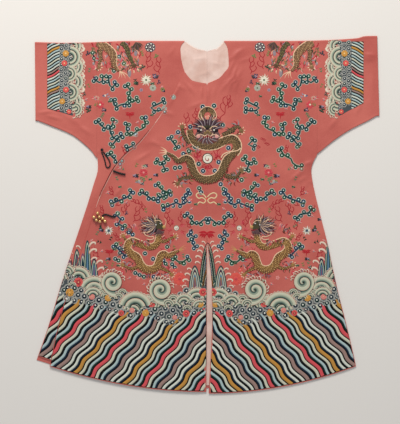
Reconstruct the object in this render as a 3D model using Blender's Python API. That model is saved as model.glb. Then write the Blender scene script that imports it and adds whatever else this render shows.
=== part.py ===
"""Chinese dragon robe, laid flat on its back with the front panels up.

The frame is +X to the wearer's left, +Y towards the neck and +Z up off the floor.  The origin is
at the middle of the underside of the whole garment.  Tables give sizes in millimetres: "across"
is the distance from the centre seam, and "down" the distance below the shoulder fold.
"""
import math

import bmesh
import bpy

MM = 0.001

# Driving sizes, in millimetres
SHOULDER_Y = 642.8        # the shoulder fold, above the middle of the garment
SLEEVE_SEAM = 407.0       # half of the cloth's loom width: where the sleeve extensions start
CUFF_RIGHT = 636.4        # the wearer's right cuff
CUFF_LEFT = 629.0         # the wearer's left cuff, at its top corner
CUFF_LEAN_RIGHT = 2.4     # a cuff's lower corner stands this much towards +X of its top
CUFF_LEAN_LEFT = 7.4
INNER_EDGE = 41.0         # the inner front stops this far short of the centre
HEM_CENTRE_LEFT = 1304.0
HEM_CENTRE_RIGHT = 1298.0
HEM_LIFT_LEFT = 101.0     # a hem rises in an arc from the centre to its side corner
HEM_LIFT_RIGHT = 95.0
HEM_CENTRE_INNER = 1272.0
HEM_LIFT_INNER = 106.0
HEM_CENTRE_BACK = 1284.0
HEM_LIFT_BACK = 104.0
HEM_ARC_START = 450.0     # above this height the rows run straight across
HEM_ARC_POWER = 1.5       # below it they bend, slowly at first

# Cloth and layers, in millimetres
SILK = 1.6                # satin, its interlining and lining together
LINING = 1.0
GAP = 0.3                 # between pieces and between layers
BACK_TOP = SILK
LINING_TOP = BACK_TOP + GAP + LINING
FRONT_TOP = LINING_TOP + GAP + SILK
OVERLAP_RISE = SILK + GAP  # the overlap lies on the inner front
FOLD_RADIUS = FRONT_TOP / 2
FOLD_STEPS = 6            # flats in the half turn of a fold
SLEEVE_ROWS = 12
SLEEVE_STATIONS = 13
SLEEVE_UNDERSIDE = (0.0, 0.25, 0.5, 0.75, 1.0)
FOLD_LIP = 2.0            # the front runs on under the robe this far, and the back joins it there
SIDE_DROP = FRONT_TOP - (BACK_TOP + GAP + SILK)
SIDE_STEP = 12.0          # the front comes down onto the back over this width
SIDE_STEP_FROM = 425.0    # and does so from the armpit down, over this length
SIDE_STEP_RUN = 60.0
OVERLAP_STEP_FROM = 8.0   # the overlap climbs onto the inner front beside the centre seam
OVERLAP_STEP_RUN = 26.0
EDGE_COLUMNS_SHARE = 0.6  # most of a narrow panel's width that its edge columns may take
LINING_INSET = 18.0       # the lining stops short of the side seams
LINING_HEM = 10.0         # and of the hem

# Neckline: down, across on the wearer's right front, across on the left front
NECK_FRONT = (
    (0.0, -83.0, 63.0),
    (12.0, -93.0, 70.0),
    (26.0, -99.0, 76.0),
    (66.0, -96.0, 80.0),
    (96.0, -89.0, 80.5),
    (104.0, -86.0, 77.0),
    (114.0, -82.0, 66.0),
    (128.0, -73.5, 56.0),
    (140.0, -63.0, 43.0),
    (150.0, -52.0, 20.0),
    (158.0, -30.0, 0.3),
)
# Back neckline: down, across on the wearer's right, across on the left
NECK_BACK = (
    (4.0, -79.0, 62.0),
    (12.0, -69.0, 55.0),
    (18.0, -60.0, 50.0),
    (25.0, -48.0, 43.0),
    (31.0, -34.0, 35.0),
    (35.0, -19.0, 25.0),
    (37.4, -0.3, 0.3),
)
# Side seams from the armpit to the hem: down, across on the right side, across on the left side
SIDES = (
    (422.0, -407.0, 407.0),
    (440.0, -404.0, 396.0),
    (477.0, -403.0, 385.0),
    (514.0, -414.0, 389.0),
    (625.0, -448.0, 414.0),
    (755.0, -492.0, 447.0),
    (903.0, -540.0, 478.0),
    (1051.0, -585.0, 516.0),
    (1166.0, -625.0, 543.0),
    (1203.0, -640.0, 551.0),
)
# Free edge of the overlap: down, across
FREE_EDGE = (
    (118.0, -86.0),
    (158.0, -106.0),
    (248.0, -155.0),
    (333.0, -215.0),
    (392.0, -266.0),
    (418.0, -300.0),
    (477.0, -348.0),
    (529.0, -375.0),
    (562.0, -392.0),
    (760.0, -459.0),
    (953.0, -523.0),
    (1080.0, -556.0),
    (1203.0, -582.0),
)
# Hidden inner edge of the inner front, below the neck: down, across
INNER_FRONT_EDGE = (
    (0.0, -83.0),
    (12.0, -93.0),
    (26.0, -99.0),
    (66.0, -96.0),
    (96.0, -89.0),
    (114.0, -82.6),
    (140.0, -76.0),
    (180.0, -58.0),
    (230.0, -INNER_EDGE),
    (1300.0, -INNER_EDGE),
)
# Centre vent: down, across of the overlap's edge, across of the left front's edge
VENT = (
    (158.0, -0.15, 0.15),
    (740.0, -0.15, 0.15),
    (800.0, -0.4, 7.0),
    (900.0, -0.9, 17.5),
    (1030.0, -1.5, 20.0),
    (1160.0, -2.1, 14.0),
    (1300.0, -2.8, 6.0),
)
# Underarm edge of the sleeves: across, down
UNDERARM_RIGHT = (
    (-637.0, 292.0),
    (-588.0, 311.0),
    (-500.0, 348.0),
    (-451.0, 385.0),
    (-418.0, 418.0),
    (-407.0, 436.0),
)
UNDERARM_LEFT = (
    (407.0, 419.0),
    (426.0, 403.0),
    (470.0, 366.0),
    (525.0, 329.0),
    (599.0, 290.0),
    (637.0, 266.0),
)
TOP_FOLD_FADE = 150.0     # the shoulder fold's bend dies out this far below it
# Shoulder fold: across, down.  It kinks up at the wearer's left cuff.
TOP_FOLD = (
    (-640.0, 4.0),
    (-520.0, 7.0),
    (-400.0, 4.0),
    (-300.0, 0.0),
    (300.0, 0.0),
    (400.0, -1.5),
    (520.0, -7.0),
    (562.0, -11.0),
    (584.0, -18.0),
    (640.0, -18.5),
)
# Broad soft folds in the fronts: across, down, run in degrees from +X, half length, half width,
# height
FOLDS = (
    (117.0, 44.0, 34.0, 45.0, 12.0, 3.2),
    (96.0, 150.0, 72.0, 75.0, 14.0, 3.6),
    (2.0, 205.0, 88.0, 60.0, 10.0, 2.6),
    (-200.0, 372.0, -24.0, 70.0, 16.0, 2.4),
    (352.0, 480.0, 36.0, 60.0, 15.0, 3.0),
    (-300.0, 820.0, 80.0, 260.0, 34.0, 2.2),
    (-130.0, 900.0, 86.0, 300.0, 38.0, 2.6),
    (150.0, 760.0, 93.0, 330.0, 40.0, 2.4),
    (330.0, 900.0, 99.0, 260.0, 34.0, 2.8),
    (240.0, 330.0, 62.0, 130.0, 26.0, 2.0),
    (490.0, 170.0, 80.0, 90.0, 24.0, 2.6),
    (598.0, 54.0, -8.0, 40.0, 12.0, 3.0),
    (-580.0, 262.0, 8.0, 60.0, 14.0, 2.8),
    (-500.0, 160.0, 96.0, 90.0, 26.0, 2.2),
    (-262.0, 170.0, 68.0, 110.0, 26.0, 2.4),
)
FOLDS_FROM = 12.0         # the folds start this far below the shoulder fold
FOLDS_RUN = 40.0          # and have their full height after this length
INNER_FOLDS_FROM = 22.0   # the inner front has them only this far out from the overlap's edge
INNER_FOLDS_RUN = 30.0
EDGE_FOLDS_RUN = 30.0     # they die out towards the overlap's free edge
SLEEVE_FOLDS_RUN = 34.0   # and towards a sleeve's two folded edges
EDGE_CURL = 3.6           # the overlap's free edge stands up this much at the chest
EDGE_CURL_FROM = 300.0
EDGE_CURL_TO = 600.0
EDGE_CURL_WIDTH = 16.0

# Fastenings: across, down, in millimetres
CORD = 5.4                # a tube of black silk, sewn into the loop
BAR = 8.0                 # the doubled cord of the chest bar
SIDE_BAR = 7.0            # and of the side bar
CORD_CLEARANCE = 0.9
KNOT_RADIUS = 6.0
KNOT_SQUASH = 0.62
KNOT_LIFT = 4.4
BALL_SEGMENTS = 14
BALL_RINGS = 8
LOOP_CHEST = (
    (-389.4, 412.0),
    (-384.8, 422.0),
    (-380.5, 433.5),
    (-377.0, 445.0),
    (-375.0, 456.0),
    (-372.0, 465.5),
    (-364.5, 469.0),
    (-359.0, 463.0),
    (-358.0, 453.5),
    (-361.5, 442.5),
    (-368.5, 430.5),
    (-376.5, 419.5),
    (-382.0, 411.0),
)
KNOT_CHEST = (-388.0, 403.0)
STRAP_CHEST = (
    (-346.0, 481.0),
    (-331.0, 487.0),
    (-316.0, 491.5),
    (-302.0, 494.5),
)
STRAP_SIDE = (
    (-387.0, 646.5),
    (-376.0, 642.0),
    (-362.0, 645.5),
    (-350.0, 650.0),
    (-339.0, 649.0),
)
BUTTON_RADIUS = 6.5
BUTTON_SHANK = 1.2        # the shank holds a button this far off the cloth
BUTTONS_SIDE = (
    (-403.5, 637.0),
    (-417.0, 652.0),
    (-397.0, 651.0),
    (-408.0, 663.0),
    (-384.5, 656.5),
    (-395.0, 668.0),
    (-376.0, 667.0),
)


# Tables and curves ---------------------------------------------------------------------------

def slope_at(rows, index, column):
    """Slope of a smooth curve through a table at one of its rows, with no overshoot."""
    slopes = []
    for start, end in ((index - 1, index), (index, index + 1)):
        if start >= 0 and end < len(rows):
            slopes.append((rows[end][column] - rows[start][column])
                          / (rows[end][0] - rows[start][0]))
    if len(slopes) == 1:
        return slopes[0]
    before, after = slopes
    if before * after <= 0.0:
        return 0.0
    return 2.0 * before * after / (before + after)


def smooth_read(rows, at, column=1):
    """Read a table at a place between its rows, along a smooth curve through them."""
    if at <= rows[0][0]:
        return rows[0][column]
    if at >= rows[-1][0]:
        return rows[-1][column]
    index = 0
    while rows[index + 1][0] < at:
        index += 1
    start = rows[index]
    end = rows[index + 1]
    step = end[0] - start[0]
    part = (at - start[0]) / step
    return ((2 * part ** 3 - 3 * part ** 2 + 1) * start[column]
            + (part ** 3 - 2 * part ** 2 + part) * step * slope_at(rows, index, column)
            + (3 * part ** 2 - 2 * part ** 3) * end[column]
            + (part ** 3 - part ** 2) * step * slope_at(rows, index + 1, column))


def ease(value):
    """Go from 0 to 1 without a corner at either end."""
    value = min(max(value, 0.0), 1.0)
    return value * value * (3.0 - 2.0 * value)


def place(across, down, height):
    return (across * MM, (SHOULDER_Y - down) * MM, height * MM)


# Heights of the fronts -------------------------------------------------------------------------

def fold_height(across, down):
    """Height that the soft folds add to a front, none at the shoulder fold."""
    total = 0.0
    for centre, centre_down, run, half_length, half_width, height in FOLDS:
        east = across - centre
        north = centre_down - down
        angle = math.radians(run)
        along = (east * math.cos(angle) + north * math.sin(angle)) / half_length
        aside = (north * math.cos(angle) - east * math.sin(angle)) / half_width
        if abs(along) < 1.0:
            total += height * math.cos(along * math.pi / 2) ** 2 * math.exp(-aside * aside)
    return total * ease((down - FOLDS_FROM) / FOLDS_RUN)


def height_left_front(across, down):
    return FRONT_TOP + fold_height(across, down)


def height_inner_front(across, down):
    """The inner front lies smooth under the overlap and takes folds only where it shows."""
    clear = smooth_read(FREE_EDGE, down) - across
    shown = ease((clear - INNER_FOLDS_FROM) / INNER_FOLDS_RUN)
    return FRONT_TOP + fold_height(across, down) * shown


def height_overlap(across, down):
    """The overlap rises onto the inner front, and its free edge curls up at the chest."""
    rise = OVERLAP_RISE * ease((-across - OVERLAP_STEP_FROM) / OVERLAP_STEP_RUN)
    from_edge = across - smooth_read(FREE_EDGE, down)
    stretch = (down - EDGE_CURL_FROM) / (EDGE_CURL_TO - EDGE_CURL_FROM)
    curl = 0.0
    if 0.0 < stretch < 1.0:
        curl = EDGE_CURL * math.sin(stretch * math.pi) * math.exp(-from_edge / EDGE_CURL_WIDTH)
    smooth_edge = ease(from_edge / EDGE_FOLDS_RUN)
    return FRONT_TOP + rise + curl + fold_height(across, down) * smooth_edge


# Cloth ----------------------------------------------------------------------------------------

def silk_material(name, colour, roughness=0.55, metallic=0.0):
    material = bpy.data.materials.new(name)
    material.use_nodes = True
    shader = material.node_tree.nodes["Principled BSDF"]
    shader.inputs["Base Color"].default_value = (*colour, 1.0)
    shader.inputs["Roughness"].default_value = roughness
    shader.inputs["Metallic"].default_value = metallic
    material.diffuse_color = (*colour, 1.0)
    return material


def add_object(name, mesh, material):
    piece = bpy.data.objects.new(name, mesh)
    mesh.materials.append(material)
    robe.objects.link(piece)
    return piece


def add_faces(surface, grid, ring=False):
    """Faces between neighbouring lines of a grid of vertices."""
    last = len(grid[0]) if ring else len(grid[0]) - 1
    for line, after in zip(grid, grid[1:]):
        for k in range(last):
            following = (k + 1) % len(line)
            surface.faces.new((line[k], line[following], after[following], after[k]))


def border(grid):
    """The vertices round the edge of a grid, in order."""
    right = [line[-1] for line in grid[1:-1]]
    left = [line[0] for line in grid[1:-1]]
    return grid[0] + right + grid[-1][::-1] + left[::-1]


def cloth_sheet(name, upper, under, material):
    """A flat piece of cloth from the lines of its upper and under faces."""
    mesh = bpy.data.meshes.new(name)
    surface = bmesh.new()
    top = [[surface.verts.new(point) for point in line] for line in upper]
    base = [[surface.verts.new(point) for point in line] for line in under]
    add_faces(surface, top)
    add_faces(surface, base[::-1])
    add_faces(surface, [border(base), border(top)], ring=True)
    surface.to_mesh(mesh)
    surface.free()
    mesh.shade_smooth()
    return add_object(name, mesh, material)


def cloth_tube(name, outer, inner, material):
    """A flat tube of cloth from the rings of its outer and inner faces, open at both ends."""
    mesh = bpy.data.meshes.new(name)
    surface = bmesh.new()
    outside = [[surface.verts.new(point) for point in ring] for ring in outer]
    inside = [[surface.verts.new(point) for point in ring] for ring in inner]
    add_faces(surface, outside, ring=True)
    add_faces(surface, inside[::-1], ring=True)
    add_faces(surface, [inside[0], outside[0]], ring=True)
    add_faces(surface, [outside[-1], inside[-1]], ring=True)
    surface.to_mesh(mesh)
    surface.free()
    mesh.shade_smooth()
    return add_object(name, mesh, material)


def columns(width, count, near=(), far=()):
    """Distances across a panel: fixed steps by its two edges and even ones between them."""
    fixed = (near[-1] if near else 0.0) + (far[-1] if far else 0.0)
    squeeze = min(1.0, EDGE_COLUMNS_SHARE * width / fixed) if fixed else 1.0
    start = [0.0] + [step * squeeze for step in near]
    end = [width - step * squeeze for step in reversed(far)] + [width]
    inside = count - len(start) - len(end)
    reach = end[0] - start[-1]
    middle = [start[-1] + reach * (k + 1) / (inside + 1) for k in range(inside)]
    return start + middle + end


def panel_lines(downs, inner, outer, hem_lift, height, steps, side_seam=False):
    """Lines of a panel from shoulder to hem, each from the panel's inner edge to its outer."""
    lines = []
    for down in downs:
        arc = max(0.0, (down - HEM_ARC_START) / (downs[-1] - HEM_ARC_START)) ** HEM_ARC_POWER
        inner_x = inner(down)
        outer_x = outer(down - hem_lift * arc)
        width = abs(outer_x - inner_x)
        sign = 1.0 if outer_x > inner_x else -1.0
        line = []
        for step in columns(width, *steps):
            part = step / width
            across = inner_x + sign * step
            here = down - hem_lift * arc * part * part
            here += smooth_read(TOP_FOLD, across) * max(0.0, 1.0 - down / TOP_FOLD_FADE)
            if down <= 0.0:
                here += FOLD_RADIUS
            top = height(across, here)
            if side_seam and part == 1.0:
                top = FRONT_TOP - SIDE_DROP * ease((here - SIDE_STEP_FROM) / SIDE_STEP_RUN)
            line.append((across, here, top))
        lines.append(line)
    return lines


def thinned(lines, wall):
    """The same lines one wall lower."""
    return [[(across, down, top - wall) for across, down, top in line] for line in lines]


def turned_over(line, inset):
    """Lines that carry a front's top edge round the shoulder fold and under the robe."""
    lines = [[(across, down + FOLD_LIP, inset) for across, down, top in line]]
    radius = FOLD_RADIUS - inset
    for step in range(FOLD_STEPS, 0, -1):
        turn = math.pi * step / FOLD_STEPS
        lines.append([(across,
                       down - radius * math.sin(turn),
                       FOLD_RADIUS + radius * math.cos(turn)) for across, down, top in line])
    return lines


def placed(lines, wearer_right):
    """World points; the two halves run opposite ways, so that both face up."""
    ordered = [[place(*point) for point in line] for line in lines]
    return ordered if wearer_right else [line[::-1] for line in ordered]


def build_panel(name, lines, wall, wearer_right, material, fold=False):
    upper = lines
    under = thinned(lines, wall)
    if fold:
        upper = turned_over(lines[0], 0.0) + upper
        under = turned_over(lines[0], wall) + under
    cloth_sheet(name, placed(upper, wearer_right), placed(under, wearer_right), material)


def side_right(down):
    return -SLEEVE_SEAM if down <= SIDES[0][0] else smooth_read(SIDES, down, 1)


def side_left(down):
    return SLEEVE_SEAM if down <= SIDES[0][0] else smooth_read(SIDES, down, 2)


def left_front_inner_edge(down):
    if down < NECK_FRONT[-1][0]:
        return smooth_read(NECK_FRONT, down, 2)
    return smooth_read(VENT, down, 2)


def overlap_inner_edge(down):
    if down < NECK_FRONT[-1][0]:
        return smooth_read(NECK_FRONT, down, 1)
    return smooth_read(VENT, down, 1)


def back_edge(column):
    def edge(down):
        if down < NECK_BACK[-1][0]:
            return smooth_read(NECK_BACK, down, column)
        return NECK_BACK[-1][column] / 2
    return edge


def build_fronts():
    neck_rows = (0.0, 12.0, 26.0, 46.0, 66.0, 84.0, 96.0, 104.0, 114.0, 128.0, 140.0, 150.0,
                 158.0)
    body_rows = (172.0, 190.0, 210.0, 232.0, 258.0, 286.0, 315.0, 345.0, 372.0, 395.0, 410.0,
                 422.0, 440.0, 458.0, 477.0, 500.0, 530.0, 562.0, 600.0, 645.0, 695.0, 740.0,
                 790.0, 845.0, 900.0, 960.0, 1030.0, 1100.0, 1160.0, 1220.0, 1262.0)
    overlap_rows = (118.0, 128.0, 140.0, 150.0, 158.0)
    inner_rows = (0.0, 12.0, 26.0, 66.0, 96.0, 114.0, 140.0, 180.0, 230.0, 280.0, 330.0, 372.0,
                  400.0, 422.0, 440.0, 458.0, 477.0, 500.0, 530.0, 562.0, 625.0, 700.0, 790.0,
                  880.0, 970.0, 1060.0, 1150.0, 1220.0)

    left = panel_lines(neck_rows + body_rows + (HEM_CENTRE_LEFT,), left_front_inner_edge,
                       side_left, HEM_LIFT_LEFT, height_left_front,
                       (19, (12.0,), (SIDE_STEP,)), side_seam=True)
    build_panel("front_left", left, SILK, False, front_silk, fold=True)

    overlap = panel_lines(overlap_rows + body_rows + (HEM_CENTRE_RIGHT,), overlap_inner_edge,
                          lambda down: smooth_read(FREE_EDGE, down), HEM_LIFT_RIGHT,
                          height_overlap, (19, (10.0, 36.0), (10.0, 24.0)))
    build_panel("front_overlap", overlap, SILK, True, front_silk)

    inner = panel_lines(inner_rows + (HEM_CENTRE_INNER,),
                        lambda down: smooth_read(INNER_FRONT_EDGE, down), side_right,
                        HEM_LIFT_INNER, height_inner_front, (11, (20.0,), (SIDE_STEP,)),
                        side_seam=True)
    build_panel("front_inner", inner, SILK, True, front_silk, fold=True)


def build_backs():
    rows = (4.0, 8.0, 12.0, 18.0, 25.0, 31.0, 35.0, 37.4, 120.0, 300.0, 422.0, 440.0, 458.0,
            477.0, 500.0, 530.0, 600.0, 700.0, 850.0, 1000.0, 1120.0, 1220.0, HEM_CENTRE_BACK)
    seam = FOLD_RADIUS + FOLD_LIP + GAP
    for name, side, column in (("back_right", side_right, 1), ("back_left", side_left, 2)):
        lines = panel_lines(rows, back_edge(column), side, HEM_LIFT_BACK,
                            lambda across, down: BACK_TOP, (9, (), ()))
        lines[0] = [(across, smooth_read(TOP_FOLD, across) + seam, BACK_TOP)
                    for across, down, top in lines[0]]
        build_panel(name, lines, SILK, column == 1, back_silk)


def build_lining():
    """The back's lining, in two lengths like the back and a little smaller all round."""
    rows = (4.4, 8.0, 12.0, 18.0, 25.0, 31.0, 35.0, 37.4, 120.0, 300.0, 422.0, 440.0, 458.0,
            477.0, 500.0, 530.0, 600.0, 700.0, 850.0, 1000.0, 1120.0,
            HEM_CENTRE_BACK - LINING_HEM)
    sides = (("back_lining_right", side_right, LINING_INSET, 1),
             ("back_lining_left", side_left, -LINING_INSET, 2))
    for name, side, inset, column in sides:
        lines = panel_lines(rows, back_edge(column), lambda down: side(down) + inset,
                            HEM_LIFT_BACK, lambda across, down: LINING_TOP, (8, (), ()))
        build_panel(name, lines, LINING, column == 1, lining_silk)


def sleeve_rings(stations, underarm, lean, inset):
    """Rings round a flat sleeve, from its body seam to its cuff, set in by the wall or not."""
    rings = []
    reach = abs(stations[-1] - stations[0])
    radius = FOLD_RADIUS - inset
    turns = [math.pi * step / FOLD_STEPS for step in range(1, FOLD_STEPS)]
    for across in stations:
        top = smooth_read(TOP_FOLD, across) + FOLD_RADIUS
        bottom = smooth_read(underarm, across) - FOLD_RADIUS
        depth = bottom - top
        section = []
        for step in range(SLEEVE_ROWS + 1):
            down = top + depth * step / SLEEVE_ROWS
            from_edge = min(down - top, bottom - down)
            rise = fold_height(across, down) * ease(from_edge / SLEEVE_FOLDS_RUN)
            section.append((down, FRONT_TOP - inset + rise))
        for turn in turns:
            section.append((bottom + radius * math.sin(turn),
                            FOLD_RADIUS + radius * math.cos(turn)))
        for part in SLEEVE_UNDERSIDE:
            section.append((bottom - depth * part, inset))
        for turn in reversed(turns):
            section.append((top - radius * math.sin(turn),
                            FOLD_RADIUS + radius * math.cos(turn)))
        out = lean * (abs(across) - SLEEVE_SEAM) / reach
        rings.append([place(across + out * (down - top) / depth, down, height)
                      for down, height in section])
    return rings


def build_sleeves():
    for name, sign, cuff, underarm, lean in (
            ("sleeve_right", -1.0, CUFF_RIGHT, UNDERARM_RIGHT, CUFF_LEAN_RIGHT),
            ("sleeve_left", 1.0, CUFF_LEFT, UNDERARM_LEFT, CUFF_LEAN_LEFT)):
        start = SLEEVE_SEAM + GAP
        step = (cuff - start) / SLEEVE_STATIONS
        stations = [sign * (start + step * k) for k in range(SLEEVE_STATIONS + 1)]
        if sign < 0.0:
            stations.reverse()
        cloth_tube(name, sleeve_rings(stations, underarm, lean, 0.0),
                   sleeve_rings(stations, underarm, lean, SILK), front_silk)


# Fastenings -----------------------------------------------------------------------------------

def cord(name, route, surface, diameter):
    """A round cord that lies on a front, along a line through its route, with filled ends."""
    curve = bpy.data.curves.new(name, "CURVE")
    curve.dimensions = "3D"
    curve.bevel_depth = diameter / 2 * MM
    curve.bevel_resolution = 2
    curve.use_fill_caps = True
    line = curve.splines.new("POLY")
    line.points.add(len(route) - 1)
    for point, (across, down) in zip(line.points, route):
        height = surface(across, down) + diameter / 2 + CORD_CLEARANCE
        point.co = (*place(across, down, height), 1.0)
    return add_object(name, curve, black_silk)


def knot(name, where, radius, squash, material):
    bpy.ops.mesh.primitive_uv_sphere_add(segments=BALL_SEGMENTS, ring_count=BALL_RINGS,
                                         radius=radius * MM, location=where)
    piece = bpy.context.object
    piece.name = name
    piece.scale = (1.0, 1.0, squash)
    piece.data.name = name
    piece.data.materials.append(material)
    piece.data.shade_smooth()
    for collection in list(piece.users_collection):
        collection.objects.unlink(piece)
    robe.objects.link(piece)
    return piece


def build_fastenings():
    cord("loop_chest", LOOP_CHEST, height_inner_front, CORD)
    across, down = KNOT_CHEST
    knot("loop_chest_knot", place(across, down, FRONT_TOP + KNOT_LIFT), KNOT_RADIUS,
         KNOT_SQUASH, black_silk)
    cord("strap_chest", STRAP_CHEST, height_overlap, BAR)
    cord("strap_side", STRAP_SIDE, height_overlap, SIDE_BAR)
    for number, (across, down) in enumerate(BUTTONS_SIDE, 1):
        height = height_overlap(across, down) + BUTTON_RADIUS + BUTTON_SHANK
        knot(f"button_side_{number}", place(across, down, height), BUTTON_RADIUS, 1.0, gilt)


for old in list(bpy.data.objects):
    bpy.data.objects.remove(old)

robe = bpy.data.collections.new("chinese_dragon_robe")
bpy.context.scene.collection.children.link(robe)

front_silk = silk_material("salmon_silk_satin", (0.56, 0.13, 0.10))
back_silk = silk_material("salmon_silk_back", (0.50, 0.11, 0.09))
lining_silk = silk_material("pale_pink_lining", (0.80, 0.60, 0.50))
black_silk = silk_material("black_silk_cord", (0.012, 0.012, 0.014), 0.6)
gilt = silk_material("gilt_brass", (0.83, 0.60, 0.22), 0.3, 1.0)

build_fronts()
build_backs()
build_lining()
build_sleeves()
build_fastenings()
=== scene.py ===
import math
import random

import bmesh
import bpy
import numpy as np
from mathutils.bvhtree import BVHTree
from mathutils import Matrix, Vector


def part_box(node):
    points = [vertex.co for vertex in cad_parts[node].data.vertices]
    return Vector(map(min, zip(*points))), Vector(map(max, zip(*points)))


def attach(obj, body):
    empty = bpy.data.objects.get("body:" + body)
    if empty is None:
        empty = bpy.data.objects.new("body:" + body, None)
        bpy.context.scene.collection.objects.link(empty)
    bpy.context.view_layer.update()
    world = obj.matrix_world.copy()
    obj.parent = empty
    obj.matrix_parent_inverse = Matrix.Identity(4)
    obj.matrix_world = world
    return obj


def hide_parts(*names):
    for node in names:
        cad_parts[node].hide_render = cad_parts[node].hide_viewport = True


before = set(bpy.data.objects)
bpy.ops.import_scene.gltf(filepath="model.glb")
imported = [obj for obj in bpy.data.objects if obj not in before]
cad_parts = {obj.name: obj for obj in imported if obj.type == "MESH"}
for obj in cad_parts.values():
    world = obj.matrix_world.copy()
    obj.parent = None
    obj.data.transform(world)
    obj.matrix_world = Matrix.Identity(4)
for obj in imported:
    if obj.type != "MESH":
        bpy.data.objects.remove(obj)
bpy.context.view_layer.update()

# Studio ---------------------------------------------------------------------------------------
# The robe lies on a pale floor and is seen from straight above.  One broad soft light comes from
# beyond the shoulders, and an even pale sky fills the shadows.
MM = 0.001
VIEW_DISTANCE = 5.0
VIEW_SPAN = 1.5688                       # what the picture's long side takes in, at the robe
VIEW_CENTRE = (-0.0259, 0.0100)
FLOOR_SIZE = 14.0
FLOOR_DROP = 0.0006
KEY_PLACE = (-0.6, 3.9, 2.8)
KEY_SIZE = 1.5
KEY_WATTS = 185.0


def linear(code):
    """A colour written as sRGB hex, turned to linear light."""
    parts = [int(code[k:k + 2], 16) / 255.0 for k in (1, 3, 5)]
    return [c / 12.92 if c <= 0.04045 else ((c + 0.055) / 1.055) ** 2.4 for c in parts] + [1.0]


def add_node(tree, kind, inputs=None, **settings):
    """Add a node; an input is given a value, or the output that feeds it."""
    node = tree.nodes.new(kind)
    for name, value in settings.items():
        setattr(node, name, value)
    for socket, value in (inputs or {}).items():
        if isinstance(value, bpy.types.NodeSocket):
            tree.links.new(value, node.inputs[socket])
        else:
            node.inputs[socket].default_value = value
    return node


def new_material(name, base, **values):
    """A material with one Principled shader, and the constants set on its own sockets."""
    material = bpy.data.materials.new(name)
    material.use_nodes = True
    shader = material.node_tree.nodes["Principled BSDF"]
    shader.inputs["Base Color"].default_value = linear(base)
    for socket, value in values.items():
        shader.inputs[socket.replace("_", " ")].default_value = value
    material.diffuse_color = linear(base)
    return material, material.node_tree, shader


camera = bpy.data.objects.new("camera", bpy.data.cameras.new("camera"))
camera.data.sensor_width = 36.0
camera.data.lens = camera.data.sensor_width * VIEW_DISTANCE / VIEW_SPAN
camera.data.clip_end = 50.0
camera.location = (*VIEW_CENTRE, VIEW_DISTANCE)
bpy.context.scene.collection.objects.link(camera)
bpy.context.scene.camera = camera
bpy.context.scene.view_settings.view_transform = "Standard"

world = bpy.data.worlds.new("soft_sky")
world.use_nodes = True
world.node_tree.nodes["Background"].inputs["Color"].default_value = linear("#F4F5F7")
world.node_tree.nodes["Background"].inputs["Strength"].default_value = 0.50
bpy.context.scene.world = world

key = bpy.data.objects.new("softbox", bpy.data.lights.new("softbox", "AREA"))
key.data.size = KEY_SIZE
key.data.energy = KEY_WATTS
key.data.color = linear("#FFF9F2")[:3]
key.location = KEY_PLACE
aim = (-key.location).to_track_quat("-Z", "Y")
key.rotation_euler = aim.to_euler()
bpy.context.scene.collection.objects.link(key)

bpy.ops.mesh.primitive_grid_add(x_subdivisions=2, y_subdivisions=2, size=FLOOR_SIZE,
                                location=(0.0, 0.0, -FLOOR_DROP))
floor = bpy.context.object
floor.name = "floor"
paper, tree, shader = new_material("matt_paper_floor", "#E9E6E1", Roughness=0.85)
grain = add_node(tree, "ShaderNodeTexNoise", {"Scale": 900.0, "Detail": 3.0})
bump = add_node(tree, "ShaderNodeBump", {"Height": grain.outputs["Fac"], "Strength": 0.05})
tree.links.new(bump.outputs["Normal"], shader.inputs["Normal"])
floor.data.materials.append(paper)


# Back -----------------------------------------------------------------------------------------
# The two back lengths of salmon silk satin, joined down the centre, lie flat on the floor.  All
# places below are measured on the garment in millimetres: across from the centre seam towards
# the wearer's left, and down from the shoulder fold.
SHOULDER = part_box("front_inner")[1].y
WALL = 1.6                               # satin, interlining and lining together
LOOM_HALF = 407.0                        # half of the cloth's loom width, where the sleeves start
VENT_CLEAR = 24.0                        # past the centre vent, where a hem can be read
FACET = 1.0                              # facets up to this deep are rounded off
EDGE_STEP = 0.4                          # heights are read this far inside a panel's edge
EDGE_READINGS, ROUNDING = 900, 7         # places along an edge, and how many each is rounded over
FIT_ROUNDS = 12                          # after these a grid lies true to all four edges
ABOVE_SOLID = 50.0                       # the solid's heights are read from this far up
ABOVE = 60.0                             # stitches and cords are dropped onto the cloth from here
STRAIGHT_DOWN = (0.0, 0.0, -1.0)
CRISP = math.radians(50.0)               # edges bent by more than this stay crisp
SATIN_FRONT = ("#C25C52", "#B6534A", "#CA685C")
SATIN_BACK = ("#C06158", "#B85850", "#C96C62")


def to_world(across, down, height):
    return across * MM, SHOULDER - down * MM, height * MM


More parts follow.
